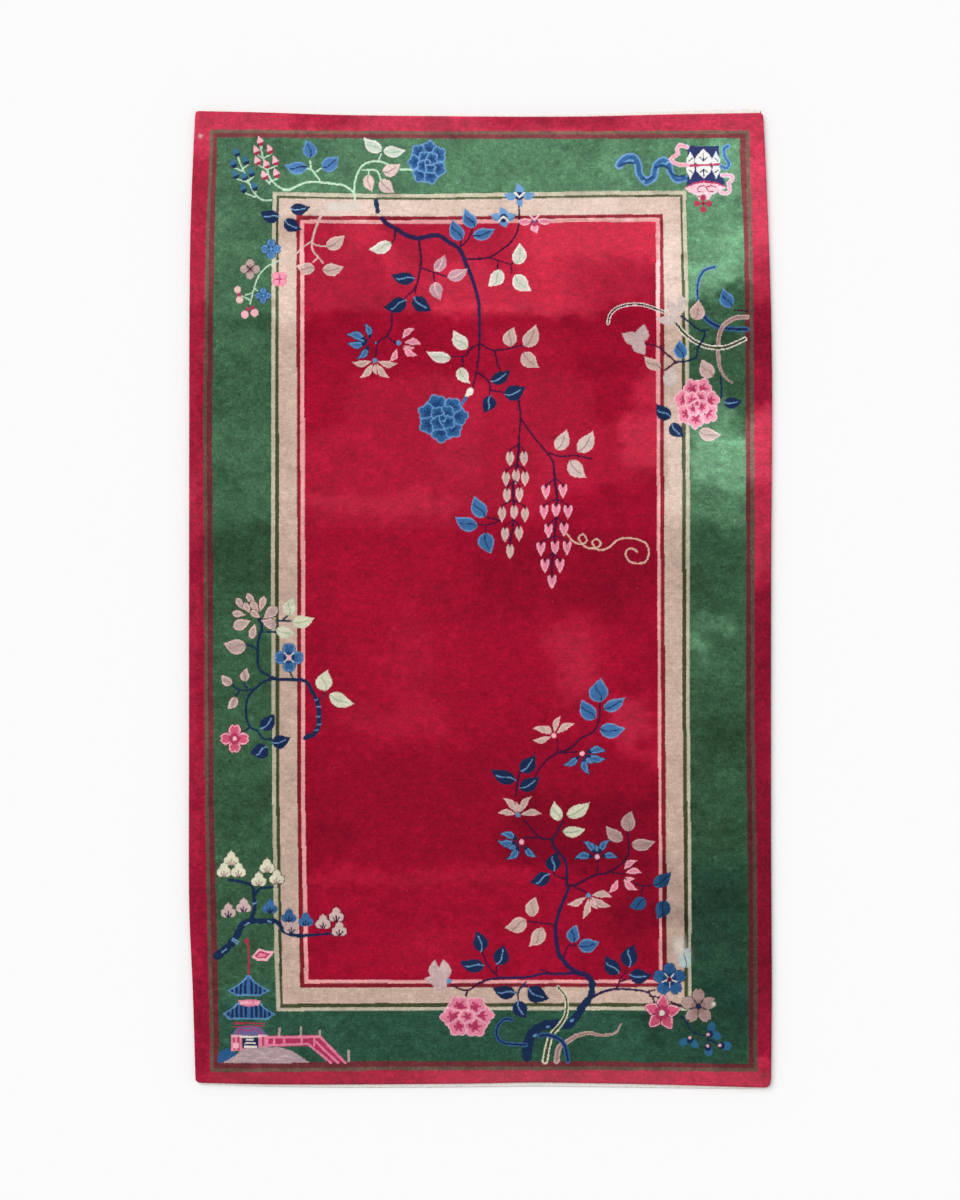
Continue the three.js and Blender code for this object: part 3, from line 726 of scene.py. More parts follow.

# Painted light and shade where the nap catches or loses the light and along creases, with real fading and
# uneven dye: soft-edged patches in squares, with their strength in photographic stops
Shade = namedtuple("Shade", "left right far near soft_x soft_y stops")
FIELD_SHADES = [
    Shade(290, 670, 212, 312, 40, 14, 0.45),
    Shade(520, 670, 205, 264, 40, 26, 0.48),
    Shade(420, 585, 268, 311, 50, 16, 0.28),
    Shade(425, 530, 306, 320, 40, 12, 0.30),
    Shade(605, 670, 298, 316, 30, 12, -0.35),
    Shade(338, 385, 212, 255, 24, 20, 0.22),
    Shade(378, 410, 252, 282, 20, 16, 0.22),
    Shade(585, 622, 350, 378, 30, 16, -0.20),
    Shade(480, 575, 325, 375, 40, 20, 0.18),
    Shade(290, 560, 374, 515, 40, 22, 0.30),
    Shade(560, 670, 374, 490, 40, 22, 0.26),
    Shade(435, 485, 385, 480, 24, 40, 0.15),
    Shade(540, 590, 440, 495, 30, 30, 0.12),
    Shade(640, 670, 368, 420, 20, 24, 0.30),
    Shade(596, 634, 380, 424, 20, 16, -0.28),
    Shade(630, 670, 415, 470, 22, 24, 0.45),
    Shade(290, 460, 494, 530, 50, 16, 0.24),
    Shade(470, 670, 535, 612, 60, 34, -0.28),
    Shade(290, 470, 532, 602, 60, 34, 0.10),
    Shade(330, 480, 610, 735, 60, 50, 0.10),
    Shade(385, 428, 600, 705, 30, 50, 0.12),
    Shade(548, 598, 622, 700, 44, 40, 0.46),
    Shade(612, 656, 702, 736, 20, 20, 0.50),
    Shade(626, 650, 734, 764, 16, 20, 0.40),
    Shade(290, 670, 744, 866, 20, 24, -0.18),
    Shade(290, 352, 780, 855, 40, 30, -0.20),
    Shade(340, 450, 705, 765, 40, 30, 0.16),
    Shade(290, 345, 374, 430, 30, 22, -0.22),
    Shade(495, 670, 796, 872, 50, 26, -0.46),
    Shade(290, 560, 866, 884, 60, 12, 0.22),
    Shade(610, 670, 866, 940, 40, 26, -0.58),
    Shade(575, 670, 905, 985, 40, 20, -0.16),
    Shade(390, 470, 930, 975, 40, 20, 0.16),
]
GREEN_SHADES = [
    Shade(206, 282, 130, 312, 16, 24, 0.60),
    Shade(206, 282, 120, 190, 16, 24, 0.20),
    Shade(212, 230, 200, 238, 14, 20, 0.40),
    Shade(206, 258, 330, 364, 16, 16, 0.38),
    Shade(206, 282, 418, 525, 16, 30, 0.36),
    Shade(206, 282, 519, 592, 16, 24, -0.45),
    Shade(206, 282, 785, 850, 16, 20, -0.34),
    Shade(206, 282, 850, 1000, 16, 30, -0.10),
    Shade(206, 660, 1000, 1072, 16, 12, -0.36),
    Shade(282, 440, 128, 200, 30, 8, 1.05),
    Shade(440, 650, 128, 200, 30, 8, 1.10),
    Shade(262, 335, 136, 164, 24, 20, -0.38),
    Shade(540, 615, 136, 152, 30, 14, -0.28),
    Shade(600, 628, 140, 188, 12, 20, 0.35),
    Shade(650, 756, 128, 200, 20, 8, 1.15),
    Shade(715, 756, 132, 196, 20, 16, 0.55),
    Shade(680, 754, 199, 290, 10, 18, 1.40),
    Shade(688, 732, 262, 292, 16, 14, 0.55),
    Shade(718, 754, 228, 262, 14, 20, 0.45),
    Shade(680, 738, 401, 434, 24, 22, 1.38),
    Shade(680, 754, 436, 482, 12, 22, 1.92),
    Shade(680, 754, 484, 522, 10, 24, 0.75),
    Shade(680, 754, 546, 592, 10, 20, -0.32),
    Shade(692, 745, 608, 628, 24, 12, 0.70),
    Shade(692, 716, 630, 649, 20, 12, 1.00),
    Shade(692, 728, 649, 668, 20, 12, 0.35),
    Shade(680, 754, 690, 800, 12, 24, -0.24),
    Shade(704, 745, 722, 758, 24, 22, -0.66),
    Shade(680, 754, 800, 868, 12, 22, -0.46),
    Shade(680, 756, 872, 1012, 12, 22, -0.92),
    Shade(692, 742, 892, 916, 26, 14, -0.45),
    Shade(700, 740, 945, 975, 20, 20, 0.10),
    Shade(650, 756, 1008, 1072, 24, 12, -0.70),
    Shade(690, 748, 1012, 1034, 20, 14, -0.25),
]
OUTER_SHADES = [
    Shade(180, 780, 100, 156, 20, 32, 0.85),
    Shade(620, 690, 100, 156, 60, 32, -0.10),
    Shade(282, 352, 100, 132, 30, 20, -0.45),
    Shade(480, 622, 100, 132, 40, 20, -0.42),
    Shade(180, 210, 156, 300, 8, 32, 0.42),
    Shade(180, 197, 300, 1060, 8, 60, 0.22),
    Shade(180, 206, 470, 530, 8, 30, 0.20),
    Shade(180, 212, 860, 1065, 8, 60, -0.22),
    Shade(728, 780, 156, 250, 8, 32, 1.10),
    Shade(740, 780, 250, 300, 8, 30, 0.55),
    Shade(740, 780, 308, 362, 8, 20, -0.42),
    Shade(732, 780, 408, 475, 8, 20, 0.88),
    Shade(740, 780, 476, 580, 8, 30, 0.48),
    Shade(740, 780, 582, 1010, 8, 30, -0.38),
    Shade(740, 780, 800, 1040, 8, 60, -0.30),
    Shade(190, 780, 1060, 1098, 20, 6, 0.12),
    Shade(430, 780, 1060, 1098, 60, 6, 0.36),
]
LINE_SHADES = [
    Shade(180, 780, 100, 160, 20, 32, 1.20),
    Shade(180, 235, 160, 300, 20, 32, 1.00),
    Shade(180, 235, 430, 480, 20, 30, 0.35),
    Shade(180, 235, 620, 780, 20, 60, 0.35),
    Shade(720, 780, 160, 290, 20, 32, 1.45),
    Shade(720, 780, 412, 475, 20, 20, 1.60),
    Shade(720, 780, 590, 1050, 20, 60, -0.40),
    Shade(720, 780, 800, 1050, 20, 60, -0.40),
    Shade(235, 720, 1050, 1085, 20, 6, 0.25),
]
BAND_SHADES = [
    Shade(270, 690, 190, 218, 20, 8, 1.05),
    Shade(325, 425, 196, 216, 40, 8, 0.35),
    Shade(540, 625, 196, 216, 40, 8, 0.40),
    Shade(660, 692, 222, 310, 12, 30, 1.55),
    Shade(660, 692, 405, 520, 12, 40, 1.10),
    Shade(270, 304, 240, 330, 12, 30, 1.00),
    Shade(270, 304, 480, 520, 12, 30, 0.40),
    Shade(270, 304, 540, 1000, 12, 60, -0.70),
    Shade(290, 560, 984, 1006, 20, 10, -0.60),
    Shade(660, 692, 540, 600, 12, 40, -0.80),
    Shade(660, 692, 800, 1000, 12, 60, -0.60),
    Shade(660, 692, 862, 930, 12, 26, -1.70),
    Shade(660, 692, 908, 965, 12, 16, -1.20),
]
# The zones that the lists hold for, each from this ground inwards
LINES, GREEN, BANDS, FIELD = (GROUNDS.index(name) for name in ("olive", "jade", "cream", "crimson"))
ZONES = ((LINE_SHADES, LINES), (GREEN_SHADES, GREEN), (BAND_SHADES, BANDS), (FIELD_SHADES, FIELD))
# Where the green wool turns bluer, along the near end and down the near right
COOL_SHADES = [Shade(206, 756, 990, 1072, 20, 40, 1.0), Shade(690, 756, 860, 1000, 20, 40, 0.7)]
COOL_SHIFT = (0.78, 1.0, 1.22)  # what the shift towards blue does to red, green and blue
SHEEN_TINT = (0.9, 1.0, 1.0)  # colour of the painted sheen, a little cool
# Pale stains and bleached places, and in the first two rows a painted pale sheen along the near end, with
# their strength from 0 to 1 in the last column
STAINS_AND_SHEEN = [
    Shade(210, 780, 1071, 1098, 20, 6, 0.018),
    Shade(480, 680, 1071, 1098, 40, 6, 0.008),
    Shade(326, 360, 203, 210, 8, 4, 0.75),
    Shade(674, 685, 937, 954, 9, 14, 0.52),
    Shade(680, 690, 948, 964, 14, 12, 0.20),
    Shade(199, 202, 134.5, 137.5, 4, 4, 0.80),
    Shade(712, 715, 1003, 1006, 3, 3, 0.90),
]
STAIN_AND_SHEEN_COLOUR = (226, 222, 212)
# Unevenness of the wool: lumps in knots along and across the rug, and the spread of its lightness
Mottle = namedtuple("Mottle", "along across spread")
MOTTLES = [
    Mottle(34, 40, 0.020),
    Mottle(13, 17, 0.028),
    Mottle(5, 6, 0.034),
    Mottle(2, 2.4, 0.046),
    Mottle(1, 22, 0.010),
]
GRAIN = 0.052  # spread of the single knots' lightness
WANDER_X = 9.0  # how far the patches' edges wander, in squares
WANDER_Y = 7.0
WANDERING = (Mottle(50, 60, 0.7), Mottle(12, 14, 0.4))  # the lumps of that, in half knots
SHEEN_RISE = 1.5  # power by which the painted sheen grows as the painted light rises
SPECKS = 160  # pale worn knots
SPECK_STRENGTH = 0.03


# Linear light from an sRGB value between 0 and 255, by the standard curve.
def linear(value):
    share = np.asarray(value, float) / 255
    return np.where(share <= 0.04045, share / 12.92, ((share + 0.055) / 1.055) ** 2.4)


# A curve that eases from 0 to 1.
def ease(share):
    share = np.clip(share, 0, 1)
    return share * share * (3 - 2 * share)


# Smooth seeded noise of unit spread over a grid, with lumps of about the given numbers of cells.
def cloud(shape, lump_rows, lump_columns):
    coarse = rng.standard_normal((int(shape[0] / lump_rows) + 3, int(shape[1] / lump_columns) + 3))
    rows = np.arange(shape[0]) / lump_rows
    columns = np.arange(shape[1]) / lump_columns
    row, column = rows.astype(int), columns.astype(int)
    down = ease(rows - row)[:, None]
    lines = coarse[row] * (1 - down) + coarse[row + 1] * down
    across = ease(columns - column)[None, :]
    return lines[:, column] * (1 - across) + lines[:, column + 1] * across


# Clouds of several sizes added up, on top of a start.
def lumpy(shape, mottles, start=0):
    return sum((mottle.spread * cloud(shape, mottle.along, mottle.across) for mottle in mottles), start)


SAME_LEVEL = 1e-5  # corners this close in height lie on one level


# The four edges of the CAD solid at a height: far and near from left to right, left and right from far to
# near.
def solid_edges(height):
    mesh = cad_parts["rug"].data
    corners = np.zeros(len(mesh.vertices) * 3, np.float32)
    mesh.vertices.foreach_get("co", corners)
    corners = corners.reshape(-1, 3)
    level = np.abs(corners[:, 2] - height) < SAME_LEVEL
    ring = np.unique(np.round(corners[level, :2], decimals=6), axis=0)
    ring = ring[np.argsort(np.arctan2(ring[:, 1], ring[:, 0]))]
    reach = ring / ring.max(0)

    def corner(side, end):
        return int(np.argmax(reach @ (side, end)))

    def chain(start, stop):
        count = (stop - start) % len(ring)
        return ring[(start + np.arange(count + 1)) % len(ring)]

    near_left, near_right = corner(-1, -1), corner(1, -1)
    far_right, far_left = corner(1, 1), corner(-1, 1)
    near = chain(near_left, near_right)
    right = chain(near_right, far_right)[::-1]
    far = chain(far_right, far_left)[::-1]
    left = chain(far_left, near_left)
    return far, near, left, right


# Evenly spaced points along a chain of points.
def spaced(chain, count):
    run = np.concatenate([[0], np.cumsum(np.hypot(*np.diff(chain, axis=0).T))])
    at = np.linspace(0, run[-1], count)
    return np.stack([np.interp(at, run, chain[:, 0]), np.interp(at, run, chain[:, 1])], axis=1)


# A grid of points stretched between four edges, row by row from the far end to the near end.
def stretched_grid(edges, rows, columns):
    far, near = (spaced(edge, columns + 1)[None] for edge in edges[:2])
    left, right = (spaced(edge, rows + 1)[:, None] for edge in edges[2:])
    u = np.linspace(0, 1, columns + 1)[None, :, None]
    v = np.linspace(0, 1, rows + 1)[:, None, None]
    between_ends = far * (1 - v) + near * v
    between_sides = left * (1 - u) + right * u
    far_corners = far[:, :1] * (1 - u) + far[:, -1:] * u
    near_corners = near[:, :1] * (1 - u) + near[:, -1:] * u
    return between_ends + between_sides - far_corners * (1 - v) - near_corners * v


pile_edges = solid_edges(RIM_HIGH)
web_edges = solid_edges(0.0)
knot_grid = stretched_grid(pile_edges, ROWS, COLUMNS)

# Each knot is coloured in its four quarters, so the drawing is sampled at the middle of each.
quarter_grid = stretched_grid(pile_edges, ROWS * 4, COLUMNS * 4)[1::2, 1::2]
chart_x = MIDDLE[0] + quarter_grid[..., 0] / SQUARE
chart_y = MIDDLE[1] - quarter_grid[..., 1] / SQUARE
column_guide = chart_x[len(chart_x) // 2]
row_guide = chart_y[:, chart_y.shape[1] // 2]


# The part of the sampled drawing that holds a box of the sheet, and a margin round it.
def window(left, right, far, near):
    columns = np.searchsorted(column_guide, (left - MARGIN, right + MARGIN))
    rows = np.searchsorted(row_guide, (far - MARGIN, near + MARGIN))
    return slice(*rows), slice(*columns)


# The window round a point.
def around(x, y, reach):
    return window(x - reach, x + reach, y - reach, y + reach)


# Where one of the ground's lines lies on a side of the rug, at places along that side.
def line_at(side, name, at):
    return np.interp(at, [row.at for row in side], [getattr(row, name) for row in side])


# Which wool lies where, before the motifs: nested bands between uneven lines.
def draw_ground():
    nested = np.zeros(chart_x.shape, int)
    for name in Lines._fields[1:]:
        across = (chart_x > line_at(LEFT, name, chart_y)) & (chart_x < line_at(RIGHT, name, chart_y))
        along = (chart_y > line_at(FAR, name, chart_x)) & (chart_y < line_at(NEAR, name, chart_x))
        nested += across & along
    return nested


ring = draw_ground()
ink = np.array([INK[name] for name in GROUNDS], np.uint8)[ring]


# Lays a wool wherever the mask holds, within a window.
def lay(cells, mask, wool):
    ink[cells][mask] = INK[wool]


# A leaf or petal from its base at 0 to its tip at 1. A tip with a hook turns up the sheet.
# It gives back its window, where it lies, and each place's share along it and distance from its middle.
def lay_blade(x, y, heading, length, width, finish, blade, line=None):
    cells = around(x, y, length / 2)
    turn = math.radians(heading)
    dx, dy = chart_x[cells] - x, chart_y[cells] - y
    run = 0.5 + (dx * math.cos(turn) - dy * math.sin(turn)) / length
    hooked = np.clip((run - HOOK_START) / (1 - HOOK_START), 0, 1) ** 2
    bend = -math.copysign(1, math.cos(turn)) * blade.hook * width * hooked
    side = dx * math.sin(turn) + dy * math.cos(turn) - bend
    skewed = np.clip(run, LEAST_RUN, 1) ** (math.log(0.5) / math.log(blade.widest))
    swell = np.abs(2 * skewed - 1) ** np.where(skewed < 0.5, blade.base, blade.tip)
    half = width / 2 * (1 - swell)
    half = np.where(run > 0.5, np.maximum(half, SPUR), half)
    room = half - np.abs(side)
    inside = (run > 0) & (run < 1) & (room > 0)
    if line:
        past = LINE_WIDTH / length
        lay(cells, (run > -past) & (run < 1 + past) & (room > -LINE_WIDTH), line)
    lay(cells, inside, finish.rim)
    if finish.inside:
        lay(cells, inside & (room > RIM_WIDTH) & (run < INSIDE_END), finish.inside)
    if finish.vein and blade is LEAF:
        sway = VEIN_SWAY * width * np.sin(2 * math.pi * run)
        vein = (run < VEIN_END) & (np.abs(side - sway) < VEIN_WIDTH / 2)
        lay(cells, inside & vein, finish.vein)
    return cells, inside, run, side


def finish_of(wool):
    return FINISHES.get(wool, Finish(wool))


def draw_leaves(leaves):
    finish = finish_of(leaves.wool)
    for x, y, heading, length, width in leaves.rows:
        lay_blade(x, y, heading, length, width * finish.full, finish, leaves.blade, leaves.line)


# A smooth curve through points, as closely spaced points.
def smooth_path(points):
    points = np.array(points, float)
    padded = np.concatenate([[2 * points[0] - points[1]], points, [2 * points[-1] - points[-2]]])
    path = [points[0]]
    for before, start, stop, after in zip(padded, padded[1:], padded[2:], padded[3:]):
        count = max(2, int(np.hypot(*(stop - start)) / CURVE_STEP) + 1)
        for t in np.linspace(0, 1, count + 1)[1:]:
            bend = 2 * before - 5 * start + 4 * stop - after
            twist = 3 * start - before - 3 * stop + after
            path.append(0.5 * (2 * start + (stop - before) * t + bend * t**2 + twist * t**3))
    return np.array(path)


# A line of changing width along a path.
def lay_trail(path, widths, wool):
    for start, stop, width, next_width in zip(path, path[1:], widths, widths[1:]):
        low, high = np.minimum(start, stop), np.maximum(start, stop)
        cells = window(low[0] - width, high[0] + width, low[1] - width, high[1] + width)
        step = stop - start
        dx, dy = chart_x[cells] - start[0], chart_y[cells] - start[1]
        share = np.clip((dx * step[0] + dy * step[1]) / max(step @ step, LEAST_STEP), 0, 1)
        gap = np.hypot(dx - share * step[0], dy - share * step[1])
        lay(cells, gap < (width + (next_width - width) * share) / 2, wool)


# Twigs thin out evenly, and thick boughs are knobbly.
def draw_twigs(twigs):
    for route in twigs.routes:
        path = smooth_path(route)
        widths = np.linspace(twigs.start, twigs.end, len(path))
        if not twigs.core:
            thick = np.clip(widths - BOUGH_FROM, 0, BOUGH_FULL)
            widths = widths * (1 + KNOBS * thick * np.sin(KNOB_TURN * np.arange(len(path))))
        lay_trail(path, widths, twigs.wool)
        if twigs.core:
            lay_trail(path, widths * twigs.share, twigs.core)


# Florets that stand or hang along a stem, each on its own twig: bells with a dark foot, or lenses and forks
# with a notch at the top.
def draw_florets(florets):
    turn = math.radians(florets.heading)
    stem = np.array(sorted(florets.stem, key=lambda point: point[1]), float)
    size = (florets.heading, florets.length, florets.width)
    finish = finish_of(florets.wool)
    for x, y in florets.places:
        foot = (x - math.cos(turn) * florets.length / 2, y + math.sin(turn) * florets.length / 2)
        joint_y = foot[1] + florets.joint
        joint = (np.interp(joint_y, stem[:, 1], stem[:, 0]), joint_y)
        lay_trail(np.array([joint, foot], float), FLORET_TWIG, florets.twig)
        cells, inside, run, side = lay_blade(x, y, *size, finish, FLORET_BLADES[florets.shape])
        if florets.shape == "bell":
            lay(cells, inside & (run < BELL_FOOT), florets.cap)
        else:
            notch = florets.width * (NOTCH_DEPTH - run) * NOTCH_SLOPE
            lay(cells, inside & (np.abs(side) < notch), florets.cap)


# Petals spread from one point, their tips turned towards the level, and dark at the foot if they have a
# dark line.
def draw_fan(fan):
    finish = finish_of(fan.wool)
    for heading, reach in fan.petals:
        turn = math.radians(heading)
        length = reach - fan.gap
        middle = fan.gap + length / 2
        x, y = fan.x + math.cos(turn) * middle, fan.y - math.sin(turn) * middle
        petal = PETAL._replace(hook=-math.copysign(PETAL.hook, math.sin(turn)))
        width = FAN_WIDTH * reach
        cells, inside, run, side = lay_blade(x, y, heading, length, width, finish, petal, fan.line)
        if fan.line:
            lay(cells, inside & (run < FAN_FOOT), fan.line)
    if fan.dot:
        lay_dot(fan.x, fan.y, FAN_DOT, fan.dot)


def lay_dot(x, y, radius, wool):
    cells = around(x, y, radius)
    lay(cells, np.hypot(chart_x[cells] - x, chart_y[cells] - y) < radius, wool)


def draw_dots(dots):
    for x, y in dots.places:
        lay_dot(x, y, dots.radius, dots.wool)


# A single flower: petals round a heart, dark at the foot, set apart by a line, with spokes between them.
def draw_blossom(blossom):
    size = blossom.radius
    sector = 2 * math.pi / blossom.petals
    half = LOBE_WIDTH * math.sin(sector / 2)
    cells = around(blossom.x, blossom.y, size)
    dx, dy = (chart_x[cells] - blossom.x) / size, (chart_y[cells] - blossom.y) / size
    for petal in range(blossom.petals):
        turn = math.radians(blossom.turn) + petal * sector
        along = dx * math.cos(turn) - dy * math.sin(turn)
        across = np.abs(dx * math.sin(turn) + dy * math.cos(turn))
        share = (along - LOBE_MIDDLE) / (1 - LOBE_MIDDLE)
        swell = np.sqrt(np.clip(1 - share**2, 0, 1))
        if blossom.tip == "point":
            narrow = np.clip(1 - np.abs(share - POINT_FROM) / (1 - POINT_FROM), 0, 1) ** POINT_BLUNT
            swell = np.where(share > POINT_FROM, narrow, swell)
        room = half * swell - across
        if blossom.tip == "notch":
            room = np.minimum(room, TIP_NOTCH - along + across * TIP_SLOPE)
        room = np.where(np.abs(share) < 1, room, -1) * size
        lay(cells, room > -LINE_WIDTH, blossom.line)
        lay(cells, room > 0, blossom.rim)
        lay(cells, room > RIM_WIDTH, blossom.inside)
        lay(cells, (room > 0) & (along < FOOT_REACH - FOOT_SLOPE * across), blossom.base)
    for petal in range(blossom.petals):
        turn = math.radians(blossom.turn) + (petal + 0.5) * sector
        reach = SPOKE_REACH * size
        tip = (blossom.x + math.cos(turn) * reach, blossom.y - math.sin(turn) * reach)
        lay_trail(np.array([(blossom.x, blossom.y), tip], float), SPOKE_WIDTHS, blossom.spoke)
    lay_dot(blossom.x, blossom.y, HEART_RADIUS * size, blossom.heart)


# A double flower in rings of scalloped petals, each with a pale rim and a deep, ragged heart.
def draw_peony(peony):
    cells = around(peony.x, peony.y, max(peony.width, peony.height) / 2)
    dx = (chart_x[cells] - peony.x) / (peony.width / 2)
    dy = (chart_y[cells] - peony.y) / (peony.height / 2)
    square = 2 / peony.width  # one square in the flower's own measure
    for ring_number, ring in enumerate(peony.rings):
        for petal in range(ring.petals):
            wobble = math.sin(WOBBLE_STEP * petal + peony.x)
            place = (petal + ring_number / 2) * 2 * math.pi / ring.petals
            turn = math.radians(peony.turn) + place + WOBBLE_TURN * wobble
            size = ring.size * (1 + WOBBLE_SIZE * wobble)
            px, py = dx - ring.reach * math.cos(turn), dy + ring.reach * math.sin(turn)
            gap = np.hypot(px, py)
            angle = np.arctan2(-py, px) - turn
            edge = size * (SCALLOP_LOW + SCALLOP_RISE * np.abs(np.cos(SCALLOP_TURN * angle)))
            lay(cells, gap < edge, peony.rim)
            lay(cells, gap < edge - RIM_WIDTH * square, peony.wool)
            inward = HEART_SHIFT * size if ring.reach else 0.0
            depth = np.hypot(px + inward * math.cos(turn), py - inward * math.sin(turn))
            lobes = HEART_LOBES.depth * np.cos(HEART_LOBES.count * angle)
            teeth = HEART_TEETH.depth * np.cos(HEART_TEETH.count * angle + petal)
            lay(cells, (gap < edge) & (depth < size * (HEART_SIZE + lobes + teeth)), peony.heart)


# A shape given by its corners.
def draw_patch(patch):
    corners = np.array(patch.points, float)
    low, high = corners.min(0), corners.max(0)
    cells = window(low[0], high[0], low[1], high[1])
    x, y = chart_x[cells], chart_y[cells]
    inside = np.zeros(x.shape, bool)
    for (ax, ay), (bx, by) in zip(corners, np.roll(corners, -1, axis=0)):
        if ay != by:
            crosses = (ay > y) != (by > y)
            inside ^= crosses & (x < ax + (bx - ax) * (y - ay) / (by - ay))
    lay(cells, inside, patch.wool)


def draw_boxes(boxes):
    for left, right, far, near in boxes.rows:
        cells = window(left, right, far, near)
        x, y = chart_x[cells], chart_y[cells]
        lay(cells, (x > left) & (x < right) & (y > far) & (y < near), boxes.wool)


# A tuft of pine needles: a cushion of three lobes with a pointed top, and dark marks by its twig.
def draw_pines(pines):
    for x, y in pines.places:
        for wool, spread in ((pines.edge, LINE_WIDTH), (pines.wool, 0)):
            for lobe in PINE_LOBES if wool else ():
                lay_dot(x + lobe.across, y + lobe.down, lobe.radius + spread, wool)
        tip = np.array([(x, y - height) for height in PINE_TIP], float)
        lay_trail(tip, PINE_TIP_WIDTHS, pines.wool)
        for mark in PINE_MARKS:
            top = (x + mark.across * MARK_SPREAD, y + mark.top)
            foot = (x + mark.across * MARK_GATHER, y + mark.foot)
            lay_trail(np.array([top, foot], float), MARK_WIDTHS, pines.mark)


# A tiled roof that sweeps out to its eaves, edged in pale blue and striped.
def draw_roof(roof):
    cells = window(roof.x - roof.spread, roof.x + roof.spread, roof.top, roof.foot)
    x, y = np.abs(chart_x[cells] - roof.x), chart_y[cells]
    sweep = np.clip((y - roof.top) / (roof.eave - roof.top), 0, 1) ** EAVE_SWEEP
    tuck = np.clip((y - roof.eave) / (roof.foot - roof.eave), 0, 1) ** EAVE_TUCK
    half = roof.ridge + (roof.spread - roof.ridge) * sweep + (roof.base - roof.spread) * tuck
    inside = (y > roof.top) & (y < roof.foot) & (x < half)
    lay(cells, inside, "sky")
    tiles = inside & (x < half - ROOF_SIDE) & (y < roof.foot - ROOF_TRIM) & (y > roof.top + ROOF_TRIM)
    lay(cells, tiles, "blue")
    lay(cells, tiles & (x % TILE_PITCH > TILE_GAP), "navy")


DRAW = {
    Leaves: draw_leaves,
    Twigs: draw_twigs,
    Florets: draw_florets,
    Fan: draw_fan,
    Blossom: draw_blossom,
    Peony: draw_peony,
    Dots: draw_dots,
    Patch: draw_patch,
    Boxes: draw_boxes,
    Pines: draw_pines,
    Roof: draw_roof,
}
for spray in DRAWING:
    for motif in spray:
        DRAW[type(motif)](motif)


# A sum of soft-edged patches over the whole rug, at places whose edges wander.
def soft_patches(shades, x_all, y_all):
    total = np.zeros(chart_x.shape)
    for shade in shades:
        sides = (shade.left - shade.soft_x, shade.right + shade.soft_x)
        ends = (shade.far - shade.soft_y, shade.near + shade.soft_y)
        cells = window(*sides, *ends)
        x, y = x_all[cells], y_all[cells]
        across = ease(0.5 + (x - shade.left) / shade.soft_x) * ease(0.5 + (shade.right - x) / shade.soft_x)
        along = ease(0.5 + (y - shade.far) / shade.soft_y) * ease(0.5 + (shade.near - y) / shade.soft_y)
        total[cells] += shade.stops * across * along
    return total


QUARTERS = np.ones((2, 2))  # spreads a knot's value over its quarters


# Linear colour of every quarter knot.
def wool_colours():
    shape = chart_x.shape
    wandering = chart_x + WANDER_X * lumpy(shape, WANDERING), chart_y + WANDER_Y * lumpy(shape, WANDERING)
    # In stops: painted light and shade of the nap and of creases, with real fading and uneven dye.
    painted_light_and_fading = soft_patches(OUTER_SHADES, *wandering)
    for shades, first in ZONES:
        painted_light_and_fading = np.where(ring >= first, soft_patches(shades, *wandering), painted_light_and_fading)
    knots = (ROWS, COLUMNS)
    grain = lumpy(knots, MOTTLES, rng.standard_normal(knots) * GRAIN)
    table = np.array(list(WOOLS.values()), float)
    base = linear(table[:, :3])[ink]
    nap, bloom, rough = (table[ink, Wool._fields.index(name)] for name in ("nap", "bloom", "rough"))
    light = 2.0 ** (painted_light_and_fading * nap) * np.exp(np.kron(grain, QUARTERS) * rough)
    # A pale painted sheen that grows where the painted light is high.
    sheen_haze = bloom * np.clip(painted_light_and_fading, 0, None) ** SHEEN_RISE
    colours = base * light[..., None] + sheen_haze[..., None] * SHEEN_TINT
    cool = soft_patches(COOL_SHADES, *wandering) * (ink == INK["jade"])
    colours *= 1 + cool[..., None] * (np.array(COOL_SHIFT) - 1)
    # Worn specks and pale stains, and a painted pale sheen along the near end, mixed towards one pale
    # colour.
    worn = np.kron(rng.random(knots) < SPECKS / (ROWS * COLUMNS), QUARTERS) * SPECK_STRENGTH
    pale = np.clip(soft_patches(STAINS_AND_SHEEN, chart_x, chart_y) + worn, 0, 1)[..., None]
    return colours * (1 - pale) + linear(STAIN_AND_SHEEN_COLOUR) * pale


colours = wool_colours()


# Heights of the pile at the corners of the knots.
def pile_heights():
    shape = (ROWS + 1, COLUMNS + 1)
    from_side = np.minimum(np.arange(shape[1]), np.arange(shape[1])[::-1])[None, :]
    from_end = np.minimum(np.arange(shape[0]), np.arange(shape[0])[::-1])[:, None]
    inset = np.minimum(np.minimum(from_side, from_end) * KNOT, EDGE_ROLL)
    rim = EDGE_ROLL - np.sqrt(EDGE_ROLL**2 - (EDGE_ROLL - inset) ** 2)
    uneven = cloud(shape, SWELL_LUMP, SWELL_LUMP) * SWELL + rng.standard_normal(shape) * KNOT_HEIGHT
    uneven += cloud(shape, 1, WEFT_RUN) * WEFT_RIDGE
    uneven = np.clip(uneven, -PILE_DEEPEST * PILE_DROOP, PILE_DROOP)
    inner = inset > 0
    return PILE_TOP - rim + (uneven - PILE_DROOP) * inner - CARVED * motif_edges()


# 1 at the corners of knots that stand on the edge of a motif, and 0 elsewhere.
def motif_edges():
    ground = np.isin(ink, [INK[name] for name in GROUNDS])
    quarters = np.pad(ground, 1, mode="edge")
    share = quarters.reshape(ROWS + 1, 2, COLUMNS + 1, 2).mean((1, 3))
    return ((share > 0) & (share < 1)).astype(float)


heights = pile_heights()
lean = rng.uniform(-KNOT_SHIFT, KNOT_SHIFT, knot_grid.shape) * KNOT
lean[[0, -1]] *= RIM_LEAN
lean[:, [0, -1]] *= RIM_LEAN
pile_points = np.concatenate([knot_grid + lean, heights[..., None]], axis=2)


